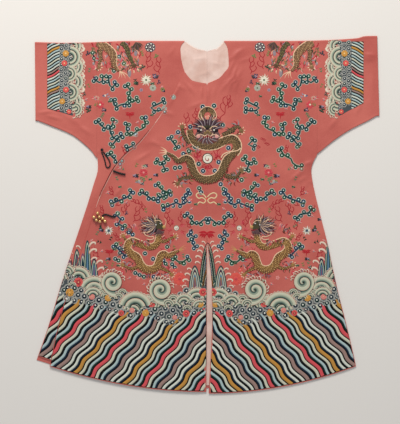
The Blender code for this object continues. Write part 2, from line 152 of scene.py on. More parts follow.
class Pattern:
    """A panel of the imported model, read as a flat pattern: its four edges and its heights."""

    def __init__(self, node):
        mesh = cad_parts[node].data
        points = np.array([v.co for v in mesh.vertices], float)
        self.points = np.column_stack((points[:, 0] / MM, (SHOULDER - points[:, 1]) / MM,
                                       points[:, 2] / MM))
        pairs = np.array([e.vertices[:] for e in mesh.edges])
        self.start = self.points[pairs[:, 0]]
        self.end = self.points[pairs[:, 1]]
        self.tree = BVHTree.FromPolygons(self.points.tolist(),
                                         [p.vertices[:] for p in mesh.polygons])
        self.low = self.points.min(0)
        self.high = self.points.max(0)
        self.sides = self.read_edges(1)
        self.ends = self.read_edges(0)

    def read_edges(self, axis):
        """Places along one axis, with the lowest and highest place across it at each."""
        places = np.linspace(self.low[axis] + 0.02, self.high[axis] - 0.02, EDGE_READINGS)
        lows, highs = [], []
        for place in places:
            before = self.start[:, axis] - place
            after = self.end[:, axis] - place
            crossing = before * after < 0.0
            part = before[crossing] / (before[crossing] - after[crossing])
            met = (self.start[crossing, 1 - axis]
                   + part * (self.end[crossing, 1 - axis] - self.start[crossing, 1 - axis]))
            lows.append(met.min())
            highs.append(met.max())
        return places, self.rounded(np.array(lows)), self.rounded(np.array(highs))

    @staticmethod
    def rounded(edge):
        """An edge with the solid's short straight facets rounded off, and its corners kept."""
        spread = np.hanning(2 * ROUNDING + 1) / np.hanning(2 * ROUNDING + 1).sum()
        smooth = np.convolve(np.pad(edge, ROUNDING, mode="edge"), spread, mode="valid")
        return np.where(abs(smooth - edge) < FACET, smooth, edge)

    def side(self, down, which):
        """Where the panel's side edge runs: 1 is the lower across and 2 the higher."""
        return np.interp(down, self.sides[0], self.sides[which])

    def end_at(self, across, which):
        """Where the panel's top (1) or bottom (2) edge runs."""
        return np.interp(across, self.ends[0], self.ends[which])

    def height(self, across, down):
        hit = self.tree.ray_cast((across, down, ABOVE_SOLID), STRAIGHT_DOWN)[0]
        return hit.z if hit is not None else None


def softened(heights, passes):
    """Heights with the facets of the coarse solid smoothed away; the outer lines stay."""
    for _ in range(passes):
        inner = heights.copy()
        inner[1:-1] = (heights[:-2] + 2.0 * heights[1:-1] + heights[2:]) / 4.0
        inner[:, 1:-1] = (inner[:, :-2] + 2.0 * inner[:, 1:-1] + inner[:, 2:]) / 4.0
        heights = inner
    return heights


def spread_grid(pattern, rows, columns, left, right, top, bottom, crowd=1.0):
    """Across and down of a grid that follows the four edges of a panel.

    With crowd over 1, its rows lie closer together towards the top.
    """
    part, share = np.meshgrid(np.linspace(0.0, 1.0, columns), np.linspace(0.0, 1.0, rows) ** crowd)
    across = np.zeros_like(part) + (pattern.low[0] + pattern.high[0]) / 2.0
    down = pattern.low[1] + share * (pattern.high[1] - pattern.low[1])
    for _ in range(FIT_ROUNDS):
        across = left(down) * (1.0 - part) + right(down) * part
        down = top(across) * (1.0 - share) + bottom(across) * share
    return across, down


def read_heights(pattern, across, down, passes):
    """The solid's upper face over a grid, smoothed, with the grid's edge read just inside."""
    rows, columns = across.shape
    heights = np.full(across.shape, np.nan)
    middle = across.mean(1)
    for i in range(rows):
        for k in range(columns):
            inwards = math.copysign(EDGE_STEP, middle[i] - across[i, k])
            at = down[i, k] + (EDGE_STEP if i < rows / 2 else -EDGE_STEP)
            found = pattern.height(across[i, k] + inwards, at)
            if found is not None:
                heights[i, k] = found
    usual = float(np.nanmedian(heights))
    for i, k in np.argwhere(np.isnan(heights)):
        near = heights[max(i - 1, 0):i + 2, max(k - 1, 0):k + 2]
        heights[i, k] = np.nanmean(near) if not np.isnan(near).all() else usual
    return softened(heights, passes)


def grid_faces(first, rows, columns, wrap=False):
    """Faces of a grid of vertices, whose lines follow each other from a first index."""
    faces = []
    for i in range(rows - 1):
        for k in range(columns if wrap else columns - 1):
            here = first + i * columns + k
            beside = first + i * columns + (k + 1) % columns
            faces.append((here, beside, beside + columns, here + columns))
    return faces


def make_piece(name, points, faces, materials, slots=None):
    mesh = bpy.data.meshes.new(name)
    mesh.from_pydata([to_world(*p) for p in points], [], faces)
    for material in materials:
        mesh.materials.append(material)
    if slots is not None:
        mesh.polygons.foreach_set("material_index", slots)
    mesh.update()
    mesh.shade_smooth()
    piece = bpy.data.objects.new(name, mesh)
    bpy.context.scene.collection.objects.link(piece)
    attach(piece, "root")
    return piece


def face_out(piece):
    """Turn a closed shell's faces outwards, and keep its cut edges crisp."""
    form = bmesh.new()
    form.from_mesh(piece.data)
    bmesh.ops.recalc_face_normals(form, faces=form.faces)
    form.to_mesh(piece.data)
    form.free()
    piece.data.set_sharp_from_angle(angle=CRISP)
    return piece


def cloth_shell(name, upper, under, material):
    """A closed thin shell of cloth, from the grids of its upper and under faces, with its rim."""
    rows, columns = len(upper), len(upper[0])
    count = rows * columns
    faces = grid_faces(0, rows, columns) + grid_faces(count, rows, columns)
    rim = (list(range(columns))
           + [i * columns + columns - 1 for i in range(1, rows)]
           + [(rows - 1) * columns + k for k in range(columns - 2, -1, -1)]
           + [i * columns for i in range(rows - 2, 0, -1)])
    for here, following in zip(rim, rim[1:] + rim[:1]):
        faces.append((here, following, following + count, here + count))
    points = [tuple(p) for line in upper + under for p in line]
    return face_out(make_piece(name, points, faces, [material]))


def as_lines(across, down, heights, drop=0.0):
    return [[(a, d, h - drop) for a, d, h in zip(*row)] for row in zip(across, down, heights)]


def satin(name, tones):
    """Silk satin: warp floats give a soft lengthwise gloss, and age has mottled the dye."""
    material, tree, shader = new_material(name, tones[0], Roughness=0.52,
                                          Sheen_Weight=0.12, Sheen_Roughness=0.45)
    place = add_node(tree, "ShaderNodeTexCoord").outputs["Object"]
    cloudy = add_node(tree, "ShaderNodeTexNoise", {"Vector": place, "Scale": 4.0, "Detail": 3.0,
                                                   "Roughness": 0.55})
    slubs = add_node(tree, "ShaderNodeTexNoise", {"Vector": place, "Scale": 300.0})
    mixed = add_node(tree, "ShaderNodeMix", {"Factor": 0.22, "A": cloudy.outputs["Fac"],
                                             "B": slubs.outputs["Fac"]})
    ramp = add_node(tree, "ShaderNodeValToRGB", {"Fac": mixed.outputs["Result"]})
    ramp.color_ramp.elements[0].position = 0.38
    ramp.color_ramp.elements[0].color = linear(tones[1])
    ramp.color_ramp.elements[1].position = 0.62
    ramp.color_ramp.elements[1].color = linear(tones[2])
    tree.links.new(ramp.outputs["Color"], shader.inputs["Base Color"])
    gloss = add_node(tree, "ShaderNodeMapRange", {"Value": cloudy.outputs["Fac"],
                                                  "To Min": 0.44, "To Max": 0.62})
    tree.links.new(gloss.outputs["Result"], shader.inputs["Roughness"])
    # A warp thread is 0.3 mm; it is drawn 2.4 mm wide, which is the least that shows.
    warp = add_node(tree, "ShaderNodeTexWave", {"Vector": place, "Scale": 1.0 / (2.4 * MM) / 20.0,
                                                "Distortion": 2.0, "Detail": 2.0})
    puckers = add_node(tree, "ShaderNodeTexNoise", {"Vector": place, "Scale": 16.0, "Detail": 2.0,
                                                    "Distortion": 0.8})
    fine = add_node(tree, "ShaderNodeBump", {"Height": warp.outputs["Fac"], "Strength": 0.12,
                                             "Distance": 0.0004})
    worn = add_node(tree, "ShaderNodeBump", {"Height": puckers.outputs["Fac"],
                                             "Strength": 0.22, "Distance": 0.004,
                                             "Normal": fine.outputs["Normal"]})
    tree.links.new(worn.outputs["Normal"], shader.inputs["Normal"])
    return material


def end_line(pattern, which, least, most=2000.0):
    """Where a panel's top (1) or bottom (2) edge runs, held level outside a stretch of it."""
    side = math.copysign(1.0, pattern.low[0] + pattern.high[0])
    return lambda across: pattern.end_at(side * np.clip(side * across, least, most), which)


def panel_grid(pattern, rows, columns, neck=0.0, top=None, crowd=1.0):
    """A grid over a panel, from its centre edge out to its side and from its top to its hem."""
    wearer_left = pattern.low[0] + pattern.high[0] > 0.0
    near, far = (1, 2) if wearer_left else (2, 1)
    corner = pattern.sides[0][np.argmax(abs(pattern.sides[far]))]
    widest = abs(pattern.side(100.0, far)) - 5.0
    return spread_grid(pattern, rows, columns, lambda down: pattern.side(down, near),
                       lambda down: pattern.side(np.minimum(down, corner), far),
                       top or end_line(pattern, 1, neck, widest),
                       end_line(pattern, 2, VENT_CLEAR), crowd)


NECK_CROWD = 1.7                         # the rows follow the back neckline closely


def dress(node):
    """Hide the imported part that a cloth shell stands in for."""
    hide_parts(node)


BACK_GRID, BACK_NECK = (80, 30), 95.0    # rows and columns; and how far out the neck reaches
back_satin = satin("salmon_silk_satin_back", SATIN_BACK)
for name in ("back_left", "back_right"):
    pattern = Pattern(name)
    across, down = panel_grid(pattern, *BACK_GRID, BACK_NECK, crowd=NECK_CROWD)
    heights = read_heights(pattern, across, down, 0)
    shell = cloth_shell(f"{name}_length", as_lines(across, down, heights),
                        as_lines(across, down, heights, WALL), back_satin)
    dress(name)


# Lining ---------------------------------------------------------------------------------------
# Plain-woven silk in pale pink, cut like the back and sewn in along its edges.  It shows through
# the neck and the centre vent, a little puckered where the padding stitches draw it in.
LINING_WALL = 1.0
LINING_GRID, LINING_NECK = (150, 70), 90.0
LINING_PUCKERS = (                       # across, down, run, half length, half width, height
    (0, 78, 90, 90, 3, 1.6),
    (-70, 58, 96, 50, 4, 1.6),
    (62, 66, 78, 50, 4, 1.8),
    (-30, 66, 8, 44, 3.5, 1.2),
    (34, 84, 166, 40, 3.5, 1.2),
    (-40, 60, 84, 60, 5, 1.5),
    (8, 90, 95, 70, 6, 2),
    (40, 70, 80, 55, 5, 1.3),
    (-10, 120, 20, 50, 5, 1.3),
    (-55, 100, 70, 40, 5, 1.3),
    (30, 130, 140, 35, 5, 1.1),
)


def folds(table, across, down):
    """Soft ridges: each runs at an angle from +X, and fades to its ends and to its sides."""
    total = np.zeros_like(across)
    for centre, centre_down, run, half_length, half_width, height in table:
        angle = math.radians(run)
        east, north = across - centre, centre_down - down
        along = (east * math.cos(angle) + north * math.sin(angle)) / half_length
        aside = (north * math.cos(angle) - east * math.sin(angle)) / half_width
        fade = np.where(abs(along) < 1, np.cos(along * math.pi / 2) ** 2, 0)
        total += height * fade * np.exp(-aside * aside)
    return total


def plain_weave(name, tone, shade):
    """Thin plain-woven silk: matt, even, with a slight slub in both directions."""
    material, tree, shader = new_material(name, tone, Roughness=0.74, Sheen_Weight=0.08)
    place = add_node(tree, "ShaderNodeTexCoord").outputs["Object"]
    soil = add_node(tree, "ShaderNodeTexNoise", {"Vector": place, "Scale": 16, "Detail": 4})
    ramp = add_node(tree, "ShaderNodeValToRGB", {"Fac": soil.outputs["Fac"]})
    ramp.color_ramp.elements[0].position = 0.36
    ramp.color_ramp.elements[0].color = linear(shade)
    ramp.color_ramp.elements[1].position = 0.60
    ramp.color_ramp.elements[1].color = linear(tone)
    tree.links.new(ramp.outputs["Color"], shader.inputs["Base Color"])
    slub = add_node(tree, "ShaderNodeTexNoise", {"Vector": place, "Scale": 420, "Detail": 2})
    bump = add_node(tree, "ShaderNodeBump", {"Height": slub.outputs["Fac"], "Strength": 0.2,
                                             "Distance": 0.0005})
    tree.links.new(bump.outputs["Normal"], shader.inputs["Normal"])
    worn = add_node(tree, "ShaderNodeMapRange", {"Value": slub.outputs["Fac"],
                                                 "To Min": 0.66, "To Max": 0.82})
    tree.links.new(worn.outputs["Result"], shader.inputs["Roughness"])
    return material


lining_silk = plain_weave("pale_pink_lining_silk", "#E3C6BB", "#D3AFA2")
for name in ("back_lining_left", "back_lining_right"):
    pattern = Pattern(name)
    across, down = panel_grid(pattern, *LINING_GRID, LINING_NECK, crowd=NECK_CROWD)
    heights = (read_heights(pattern, across, down, 0)
               + folds(LINING_PUCKERS, across, down) * (down > 12.0))
    shell = cloth_shell(f"{name}_cloth", as_lines(across, down, heights),
                        as_lines(across, down, heights, LINING_WALL), lining_silk)
    dress(name)


# Fronts ---------------------------------------------------------------------------------------
# Two loom widths of salmon satin run over the shoulders to the hem.  The wearer's left front has
# the overlap sewn on down the centre; the overlap crosses the right front to the side.  Years in
# a chest have left long soft folds and short sharp creases.
CREASES = (                              # across, down, run, half length, half width, height
    (-104, 60, 96, 60, 7, 2.2),
    (-128, 34, 60, 40, 6, 1.8),
    (-60, 176, 128, 46, 7, 2.4),
    (-120, 200, 62, 70, 8, 2.4),
    (66, 166, 52, 44, 6, 2.2),
    (92, 92, 66, 50, 6, 2.4),
    (140, 70, 20, 40, 5, 1.6),
    (-40, 236, 20, 50, 7, 1.8),
    (-240, 430, 30, 50, 8, 2.2),
    (-330, 560, 52, 50, 7, 2.4),
    (-392, 560, 66, 60, 6, 2.6),
    (-430, 660, 70, 60, 7, 2),
    (352, 560, 66, 60, 7, 1.8),
    (118, 40, 34, 48, 5, 2.7),
    (96, 62, 26, 34, 5, 2),
    (94, 140, 73, 70, 6, 3.4),
    (112, 150, 76, 60, 6, 2.4),
    (4, 196, 90, 34, 4.5, 2.2),
    (-20, 190, 92, 26, 4.5, 1.9),
    (28, 186, 84, 30, 4.5, 1.7),
    (-95, 172, 150, 26, 5, 2.2),
    (-142, 268, 158, 30, 6, 2.5),
    (-188, 380, 160, 34, 6, 2.7),
    (-262, 352, 28, 40, 6, 2.2),
    (-408, 412, 24, 24, 5, 1.7),
    (374, 452, 20, 26, 5, 2.7),
    (330, 498, 40, 46, 6, 3.1),
    (352, 512, 32, 30, 5, 2),
    (392, 520, 8, 20, 4, 1.7),
    (-70, 640, 80, 120, 12, 1.7),
    (60, 700, 97, 150, 14, 1.7),
    (250, 640, 84, 110, 12, 1.9),
    (-230, 700, 76, 130, 13, 1.7),
    (-330, 640, 72, 90, 9, 1.7),
    (180, 1130, 94, 120, 16, 1.2),
    (-200, 1130, 85, 130, 16, 1.2),
    (400, 1060, 103, 110, 14, 1.2),
    (-420, 1060, 77, 110, 14, 1.1),
)
FOLD_LIP = 2.0                           # past the shoulder fold the front turns under this far
FOLD_TURNS = 8
CREASE_CLEAR = 14.0                      # creases keep this far from the shoulder and from an edge


def fold_round(across, down, inset, radius, steps, way):
    """Lines that carry an edge of cloth round a fold, up the robe (-1) or down it (1)."""
    bend = radius - inset
    return [[(a, d + way * bend * math.sin(turn), radius + bend * math.cos(turn))
             for a, d in zip(across, down)]
            for turn in (math.pi * step / FOLD_TURNS for step in steps)]


def turned_over(across, down, inset, radius):
    """Lines that carry a front's top edge round the shoulder fold and under the robe."""
    return ([[(a, d + FOLD_LIP, inset) for a, d in zip(across, down)]]
            + fold_round(across, down, inset, radius, range(FOLD_TURNS, 0, -1), -1.0))


front_satin = satin("salmon_silk_satin", SATIN_FRONT)
for name, rows, columns, folded in (("front_left", 230, 92, True),
                                    ("front_inner", 200, 78, True),
                                    ("front_overlap", 210, 96, False)):
    pattern = Pattern(name)
    if folded:
        radius = pattern.height(pattern.low[0] / 2 + pattern.high[0] / 2, 40.0) / 2.0
        fold_line = end_line(pattern, 1, 100.0, LOOM_HALF - 5.0)
        across, down = panel_grid(pattern, rows, columns, 100.0,
                                  lambda a: fold_line(a) + radius)
    else:
        across, down = panel_grid(pattern, rows, columns, 0.0,
                                  lambda a: np.full_like(a, pattern.low[1] + EDGE_STEP))
    heights = read_heights(pattern, across, down, 3)
    clear = np.clip((down - CREASE_CLEAR) / 30.0, 0.0, 1.0)
    if name == "front_inner":
        overlap = Pattern("front_overlap")
        clear *= np.clip((overlap.side(down, 1) - CREASE_CLEAR - across) / 20.0, 0.0, 1.0)
    heights += folds(CREASES, across, down) * clear
    upper = as_lines(across, down, heights)
    under = as_lines(across, down, heights, WALL)
    if folded:
        upper = turned_over(across[0], down[0], 0.0, radius) + upper
        under = turned_over(across[0], down[0], WALL, radius) + under
    shell = cloth_shell(f"{name}_silk", upper, under, front_satin)
    dress(name)


# Sleeves --------------------------------------------------------------------------------------
# Short straight extensions of the same satin, sewn on where the loom width ends, each a flat
# tube with a plain band at its cuff.
SLEEVE_CREASES = (
    (600, 52, -6, 34, 6, 2.2),
    (596, 66, -12, 30, 6, 1.3),
    (560, 250, 62, 40, 8, 1.9),
    (470, 300, 50, 50, 8, 2.1),
    (-600, 264, 6, 38, 5, 2.6),
    (-570, 282, -14, 44, 5, 2.4),
    (-612, 120, 88, 80, 9, 1.4),
    (-450, 330, -34, 46, 8, 2.2),
    (-500, 290, -30, 60, 9, 1.6),
    (612, 160, 90, 80, 9, 1.4),
)
MID_SLEEVE = (500.0, 120.0)              # where a sleeve's thickness is read: out, down
NEAR_CUFF, CUFF_CORNER = 620.0, 16.0     # a cuff's side line holds from this far above its corner
CUFF_SAFE = 626.0                        # out to here, a sleeve's upper and lower edges can be read
EDGE_FADE = 26.0                         # creases die out this near a folded edge
UNDERSIDE_LINES = 14
for name, sign in (("sleeve_left", 1.0), ("sleeve_right", -1.0)):
    pattern = Pattern(name)
    radius = pattern.height(sign * MID_SLEEVE[0], MID_SLEEVE[1]) / 2.0
    seam, cuff_side = (pattern.low[0], 2) if sign > 0.0 else (pattern.high[0], 1)
    cuff_foot = pattern.end_at(sign * NEAR_CUFF, 2) - CUFF_CORNER
    rows, columns = 60, 56

    def cuff(down):
        return pattern.side(np.minimum(down, cuff_foot), cuff_side)

    def safe(across):
        return np.where(abs(across) > CUFF_SAFE, sign * CUFF_SAFE, across)

    across, down = spread_grid(pattern, rows, columns,
                               lambda d: np.full_like(d, seam), cuff,
                               lambda a: pattern.end_at(safe(a), 1) + radius,
                               lambda a: pattern.end_at(safe(a), 2) - radius)
    heights = read_heights(pattern, across, down, 2)
    from_edge = np.minimum(down - down[0], down[-1] - down)
    heights += folds(SLEEVE_CREASES, across, down) * np.clip(from_edge / EDGE_FADE, 0.0, 1.0)
    heights[0] = heights[-1] = 2.0 * radius

    def ring_lines(inset):
        """Lines from seam to cuff, one after another all round the flat tube."""
        lines = as_lines(across, down, heights, inset)
        lines += fold_round(across[-1], down[-1], inset, radius, range(1, FOLD_TURNS), 1.0)
        for share in np.linspace(1.0, 0.0, UNDERSIDE_LINES):
            lines.append([(a0 * (1.0 - share) + a1 * share, d0 * (1.0 - share) + d1 * share,
                           inset) for a0, d0, a1, d1 in zip(across[0], down[0],
                                                            across[-1], down[-1])])
        return lines + fold_round(across[0], down[0], inset, radius,
                                  range(FOLD_TURNS - 1, 0, -1), -1.0)

    outside, inside = ring_lines(0.0), ring_lines(WALL)
    count = len(outside) * columns
    points = [p for line in outside + inside for p in line]
    faces = []
    for first in (0, count):
        faces += grid_faces(first, len(outside), columns)
        faces += [(first + count - columns + k, first + count - columns + k + 1, first + k + 1,
                   first + k) for k in range(columns - 1)]
    for i in range(len(outside)):
        following = (i + 1) % len(outside)
        for k in (0, columns - 1):
            faces.append((i * columns + k, following * columns + k,
                          count + following * columns + k, count + i * columns + k))
    shell = face_out(make_piece(f"{name}_silk", points, faces, [front_satin]))
    dress(name)


# Clouds ---------------------------------------------------------------------------------------
# Chains of small ringed scrolls in blue and green silk, worked in satin stitch over the salmon
# ground, each with a pale outline.  The two halves mirror each other but for a few.
LIFT = 0.45                              # satin stitch stands this far off the cloth
SINK = 0.25                              # and its edge is drawn in this far below the surface
OVER_SINK = 0.06                         # the same, where it lies over other stitching
STEP_DOWN = 1.5                          # stitching isn't carried over a drop as deep as this
NARROW_BAND, ROW_WIDTH = 4.5, 6.0        # a wider band is domed over rows about so wide
SHOULDERS = (0.14, 0.86)                 # where its dome begins and ends, as shares of its width
UNDER_COVER = 9.0                        # stitching runs this far under a cloth that covers it
AXIS_TABLE = ((0.0, 400.0, 640.0), (-7.0, -7.0, 3.0))
CLOTHS = ("front_left_silk", "front_overlap_silk", "front_inner_silk", "sleeve_left_silk",
          "sleeve_right_silk")


def cloth_tree(names):
    """The cloth as one surface to lay things on, in the garment's own measures."""
    points, faces = [], []
    for name in names:
        mesh = bpy.data.objects[name].data
        first = len(points)
        points += [(v.co.x / MM, (SHOULDER - v.co.y) / MM, v.co.z / MM) for v in mesh.vertices]
        faces += [[first + k for k in face.vertices] for face in mesh.polygons]
    return BVHTree.FromPolygons(points, faces)


top_cloth = cloth_tree(CLOTHS)
spools = {}


def silk_thread(name, tone, gloss=0.46):
    """Floss silk, hardly twisted: the stitches lie side by side and shine across their run."""
    if (name, tone) in spools:
        return spools[name, tone]
    material, tree, shader = new_material(f"{name}_floss_silk", tone, Roughness=gloss,
                                          Specular_IOR_Level=0.18)
    place = add_node(tree, "ShaderNodeTexCoord").outputs["Object"]
    # A floss stitch is 0.4 mm wide; it is drawn 1.8 mm wide, so that the rows show at all.
    rows = add_node(tree, "ShaderNodeTexWave", {"Vector": place, "Scale": 1.0 / (1.8 * MM) / 20.0,
                                                "Distortion": 3.0, "Detail": 1.0},
                    bands_direction="DIAGONAL")
    wear = add_node(tree, "ShaderNodeTexNoise", {"Vector": place, "Scale": 60.0, "Detail": 3.0})
    bump = add_node(tree, "ShaderNodeBump", {"Height": rows.outputs["Fac"], "Strength": 0.35,
                                             "Distance": 0.0005})
    dull = add_node(tree, "ShaderNodeMapRange", {"Value": wear.outputs["Fac"],
                                                 "To Min": gloss - 0.08, "To Max": gloss + 0.16})
    tree.links.new(dull.outputs["Result"], shader.inputs["Roughness"])
    tree.links.new(bump.outputs["Normal"], shader.inputs["Normal"])
    spools[name, tone] = material
    return material


def curve(points, per=5):
    """A smooth line through a few points."""
    line = []
    last = len(points) - 1
    for i in range(last):
        a, b, c, d = (points[min(max(i + k, 0), last)] for k in (-1, 0, 1, 2))
        for k in range(per):
            t = k / per
            line.append(tuple(0.5 * (2 * q + (r - p) * t + (2 * p - 5 * q + 4 * r - s) * t * t
                                     + (3 * q - p - 3 * r + s) * t ** 3)
                              for p, q, r, s in zip(a, b, c, d)))
    return line + [tuple(points[-1])]


def even(line, step):
    """Points at an even step along a line."""
    line = np.array(line)
    run = np.concatenate(([0.0], np.cumsum(np.hypot(*np.diff(line, axis=0).T))))
    places = np.linspace(0.0, run[-1], max(2, int(run[-1] / step) + 1))
    return [(np.interp(p, run, line[:, 0]), np.interp(p, run, line[:, 1])) for p in places]


def away(point, turn, reach, rise=None):
    """A place off a point: a turn of 0 is outwards, and a quarter turn is up the robe."""
    return (point[0] + reach * math.cos(turn),
            point[1] - (reach if rise is None else rise) * math.sin(turn))


def arc(centre, radius, start, end, steps=12, squash=1.0):
    """Points round an arc: 0 degrees is outwards and 90 is up."""
    return [away(centre, turn, radius, radius * squash)
            for turn in np.radians(np.linspace(start, end, steps + 1))]


def placed(shape, root, size, heading, hand):
    """A small shape, set on a root at a size and a heading; hand -1 mirrors it."""
    turn = math.radians(heading)
    return [(root[0] + size * (t * math.cos(turn) - hand * s * math.sin(turn)),
             root[1] - size * (t * math.sin(turn) + hand * s * math.cos(turn))) for t, s in shape]


class Embroidery:
    """Stitched shapes, drawn on the flat and then laid on the cloth as one piece.

    A shape is drawn on one half: "out" from the centre seam, and down.  It is worked on the
    sides that are named: 1 is the wearer's left and -1 the right.  Its level is what is under
    it: 0 on the bare cloth, and more over other stitching.
    """

    def __init__(self, sides=(1, -1), axis=None):
        self.sides, self.axis, self.level = sides, axis, 0.0
        self.points, self.faces, self.slots, self.threads = [], [], [], []

    def centre(self, down):
        return self.axis if self.axis is not None else np.interp(down, *AXIS_TABLE)

    def edge(self):
        """How high an edge lies: drawn into bare cloth, or just down on other stitches."""
        return -SINK if self.level < 0.05 else -OVER_SINK

    def lines(self, thread, lines, closed=False, capped=False):
        """Faces between lines of (out, down, rise) points with as many points each."""
        if thread not in self.threads:
            self.threads.append(thread)
        slot, across, along = self.threads.index(thread), len(lines), len(lines[0])
        for side in self.sides:
            first = len(self.points)
            for line in lines:
                self.points += [(self.centre(d) + side * a, d, self.level + h)
                                for a, d, h in line]
            for i in range(across - 1):
                for k in range(along if closed else along - 1):
                    here, beside = first + i * along + k, first + i * along + (k + 1) % along
                    self.faces.append((here, beside, beside + along, here + along))
                    self.slots.append(slot)
            if capped:
                self.faces.append(tuple(range(len(self.points) - along, len(self.points))))
                self.slots.append(slot)

    def strip(self, thread, left, right, lift=LIFT, closed=False):
        """A band of stitches between two edges, domed between them."""
        wide = max(math.hypot(a[0] - b[0], a[1] - b[1]) for a, b in zip(left, right))
        rows = [(0.5, lift)]
        if wide > NARROW_BAND:
            count = max(2, int(wide / ROW_WIDTH) + 1)
            inner = list(np.linspace(*SHOULDERS, count + 1)[1:-1])
            rows = [(t, lift * (0.7 if t in SHOULDERS else 1.0))
                    for t in [SHOULDERS[0]] + inner + [SHOULDERS[1]]]
        self.lines(thread, [[(a[0] + (b[0] - a[0]) * t, a[1] + (b[1] - a[1]) * t, h)
                             for a, b in zip(left, right)]
                            for t, h in [(0.0, self.edge())] + rows + [(1.0, self.edge())]], closed)

    def ribbon(self, thread, route, width, lift=LIFT, closed=False, taper=None, shift=0.0):
        """A band along a line, as wide all along or with its width at each share of the line.

        It may be shifted to the side by a share of its width.
        """
        count = len(route)
        left, right = [], []
        for i, (a, d) in enumerate(route):
            before = route[i - 1 if i or closed else 0]
            after = route[(i + 1) % count if closed or i + 1 < count else i]
            east, south = after[0] - before[0], after[1] - before[1]
            length = math.hypot(east, south) or 1.0
            half = width / 2.0 * (np.interp(i / max(1, count - 1), *taper) if taper else 1.0)
            near, far = half * (1.0 + 2.0 * shift), half * (1.0 - 2.0 * shift)
            left.append((a - south / length * near, d + east / length * near))
            right.append((a + south / length * far, d - east / length * far))
        self.strip(thread, left, right, lift, closed)

    def disc(self, thread, centre, radius, lift=LIFT, count=12, squash=1.0):
        radii = [radius, 0.8 * radius] + list(np.arange(0.8 * radius - 6.0, 3.0, -6.0))
        if radius < 6.0:
            radii = [radius, 0.6 * radius]
        rises = [self.edge(), 0.85 * lift] + [lift] * (len(radii) - 2)
        self.lines(thread, [[(a, d, h) for a, d in arc(centre, r, 0, 360, count, squash)[:-1]]
                            for r, h in zip(radii, rises)], True, True)

    def ring(self, thread, centre, radius, width, lift=LIFT, count=14):
        self.ribbon(thread, arc(centre, radius - width / 2.0, 0, 360, count)[:-1], width, lift,
                    closed=True)

    def patch(self, thread, outline, lift):
        """A small flat patch of stitches."""
        self.lines(thread, [[(a, d, lift) for a, d in outline]], True, True)

    def spike(self, thread, root, tip, width, bend=0.0, lift=LIFT):
        """A tapering stroke from a root to a tip, bent aside by a share of its length."""
        east, south = tip[0] - root[0], tip[1] - root[1]
        middle = (root[0] + east * 0.5 - south * bend, root[1] + south * 0.5 + east * bend)
        self.ribbon(thread, curve((root, middle, tip), 4), width, lift,
                    taper=((0.0, 0.35, 1.0), (0.7, 1.0, 0.08)))

    def lay(self, name, tones, cloth=None, gloss=0.42, cover=None):
        """Drop every stitch onto the cloth; what falls off an edge is left out.

        Where another cloth covers this one, only a margin is worked under its edge.
        """
        tree = cloth or top_cloth
        ground = []
        for across, down, _ in self.points:
            hit = tree.ray_cast((across, down, ABOVE), STRAIGHT_DOWN)[0]
            covered = cover is not None and across > cover.side(down, 1) + UNDER_COVER
            ground.append(None if hit is None or covered else hit.z)
        faces, slots, used, points = [], [], {}, []
        for face, slot in zip(self.faces, self.slots):
            levels = [ground[k] for k in face]
            if None in levels or max(levels) - min(levels) > STEP_DOWN:
                continue
            for k in face:
                if k not in used:
                    used[k] = len(points)
                    across, down, lift = self.points[k]
                    points.append((across, down, ground[k] + lift))
            corners = [used[k] for k in face]
            area = sum(points[a][0] * points[b][1] - points[b][0] * points[a][1]
                       for a, b in zip(corners, corners[1:] + corners[:1]))
            faces.append(corners if area < 0.0 else corners[::-1])
            slots.append(slot)
        piece = make_piece(name, points, faces,
                           [silk_thread(thread, tones[thread], gloss) for thread in self.threads],
                           slots)
        return piece


CLOUD_TONES = {"cloud_navy": "#122A42", "cloud_blue": "#4F7896", "cloud_teal": "#0B3034",
               "cloud_sea": "#38777A", "cloud_green": "#123828", "cloud_leaf": "#5A8E70",
               "cloud_outline": "#B0AFA2", "cloud_white": "#DFE8E0"}
SHADED = (("cloud_navy", "cloud_blue"), ("cloud_teal", "cloud_sea"), ("cloud_green", "cloud_leaf"))
LOBE = 9.0                               # outer radius of a cloud's ringed lobe
OUTLINE = 2.7                            # width of the pale outline
CLOUD_LINK = 6.8
LOBE_PITCH, LOBE_SHARE = 15.0, 0.84      # a lobe this often, but for a few that are left out


def lobe(work, centre, tones, radius=LOBE):
    """One scroll of a cloud: a pale outline, silk shaded from dark to light, a white middle."""
    work.disc("cloud_outline", centre, radius + OUTLINE, 0.16, 14)
    work.disc(tones[0], centre, radius, 0.45, 14)
    work.disc(tones[1], centre, radius * 0.62, 0.6, 12)
    work.disc("cloud_white", centre, radius * 0.38, 0.75, 8)


def cloud(work, joints, draw):
    """A chain of scrolls to either side of a bending link, and a pair at each end."""
    link = even(curve(joints, 5), LOBE_PITCH)
    tones = draw.choice(SHADED)
    work.ribbon("cloud_outline", link, CLOUD_LINK + 2.0 * OUTLINE, 0.14)
    last = len(link) - 1
    centres = []
    for i, (a, d) in enumerate(link):
        before, after = link[max(i - 1, 0)], link[min(i + 1, last)]
        turn = math.atan2(after[1] - before[1], after[0] - before[0])
        if i in (0, last):
            away = turn + (0.0 if i else math.pi)
            centres += [(a + 8.0 * math.cos(away + aside), d + 8.0 * math.sin(away + aside))
                        for aside in (-1.2, 0.9)]
        elif draw.random() < LOBE_SHARE:
            side = 6.6 if i % 2 else -6.6
            centres.append((a - side * math.sin(turn), d + side * math.cos(turn)))
    for centre in centres:
        lobe(work, centre, tones if draw.random() < 0.6 else draw.choice(SHADED),
             LOBE * draw.uniform(0.86, 1.04))
    work.ribbon(tones[0], link, CLOUD_LINK, 0.55)
    work.ribbon(tones[1], link, CLOUD_LINK * 0.26, 0.75)


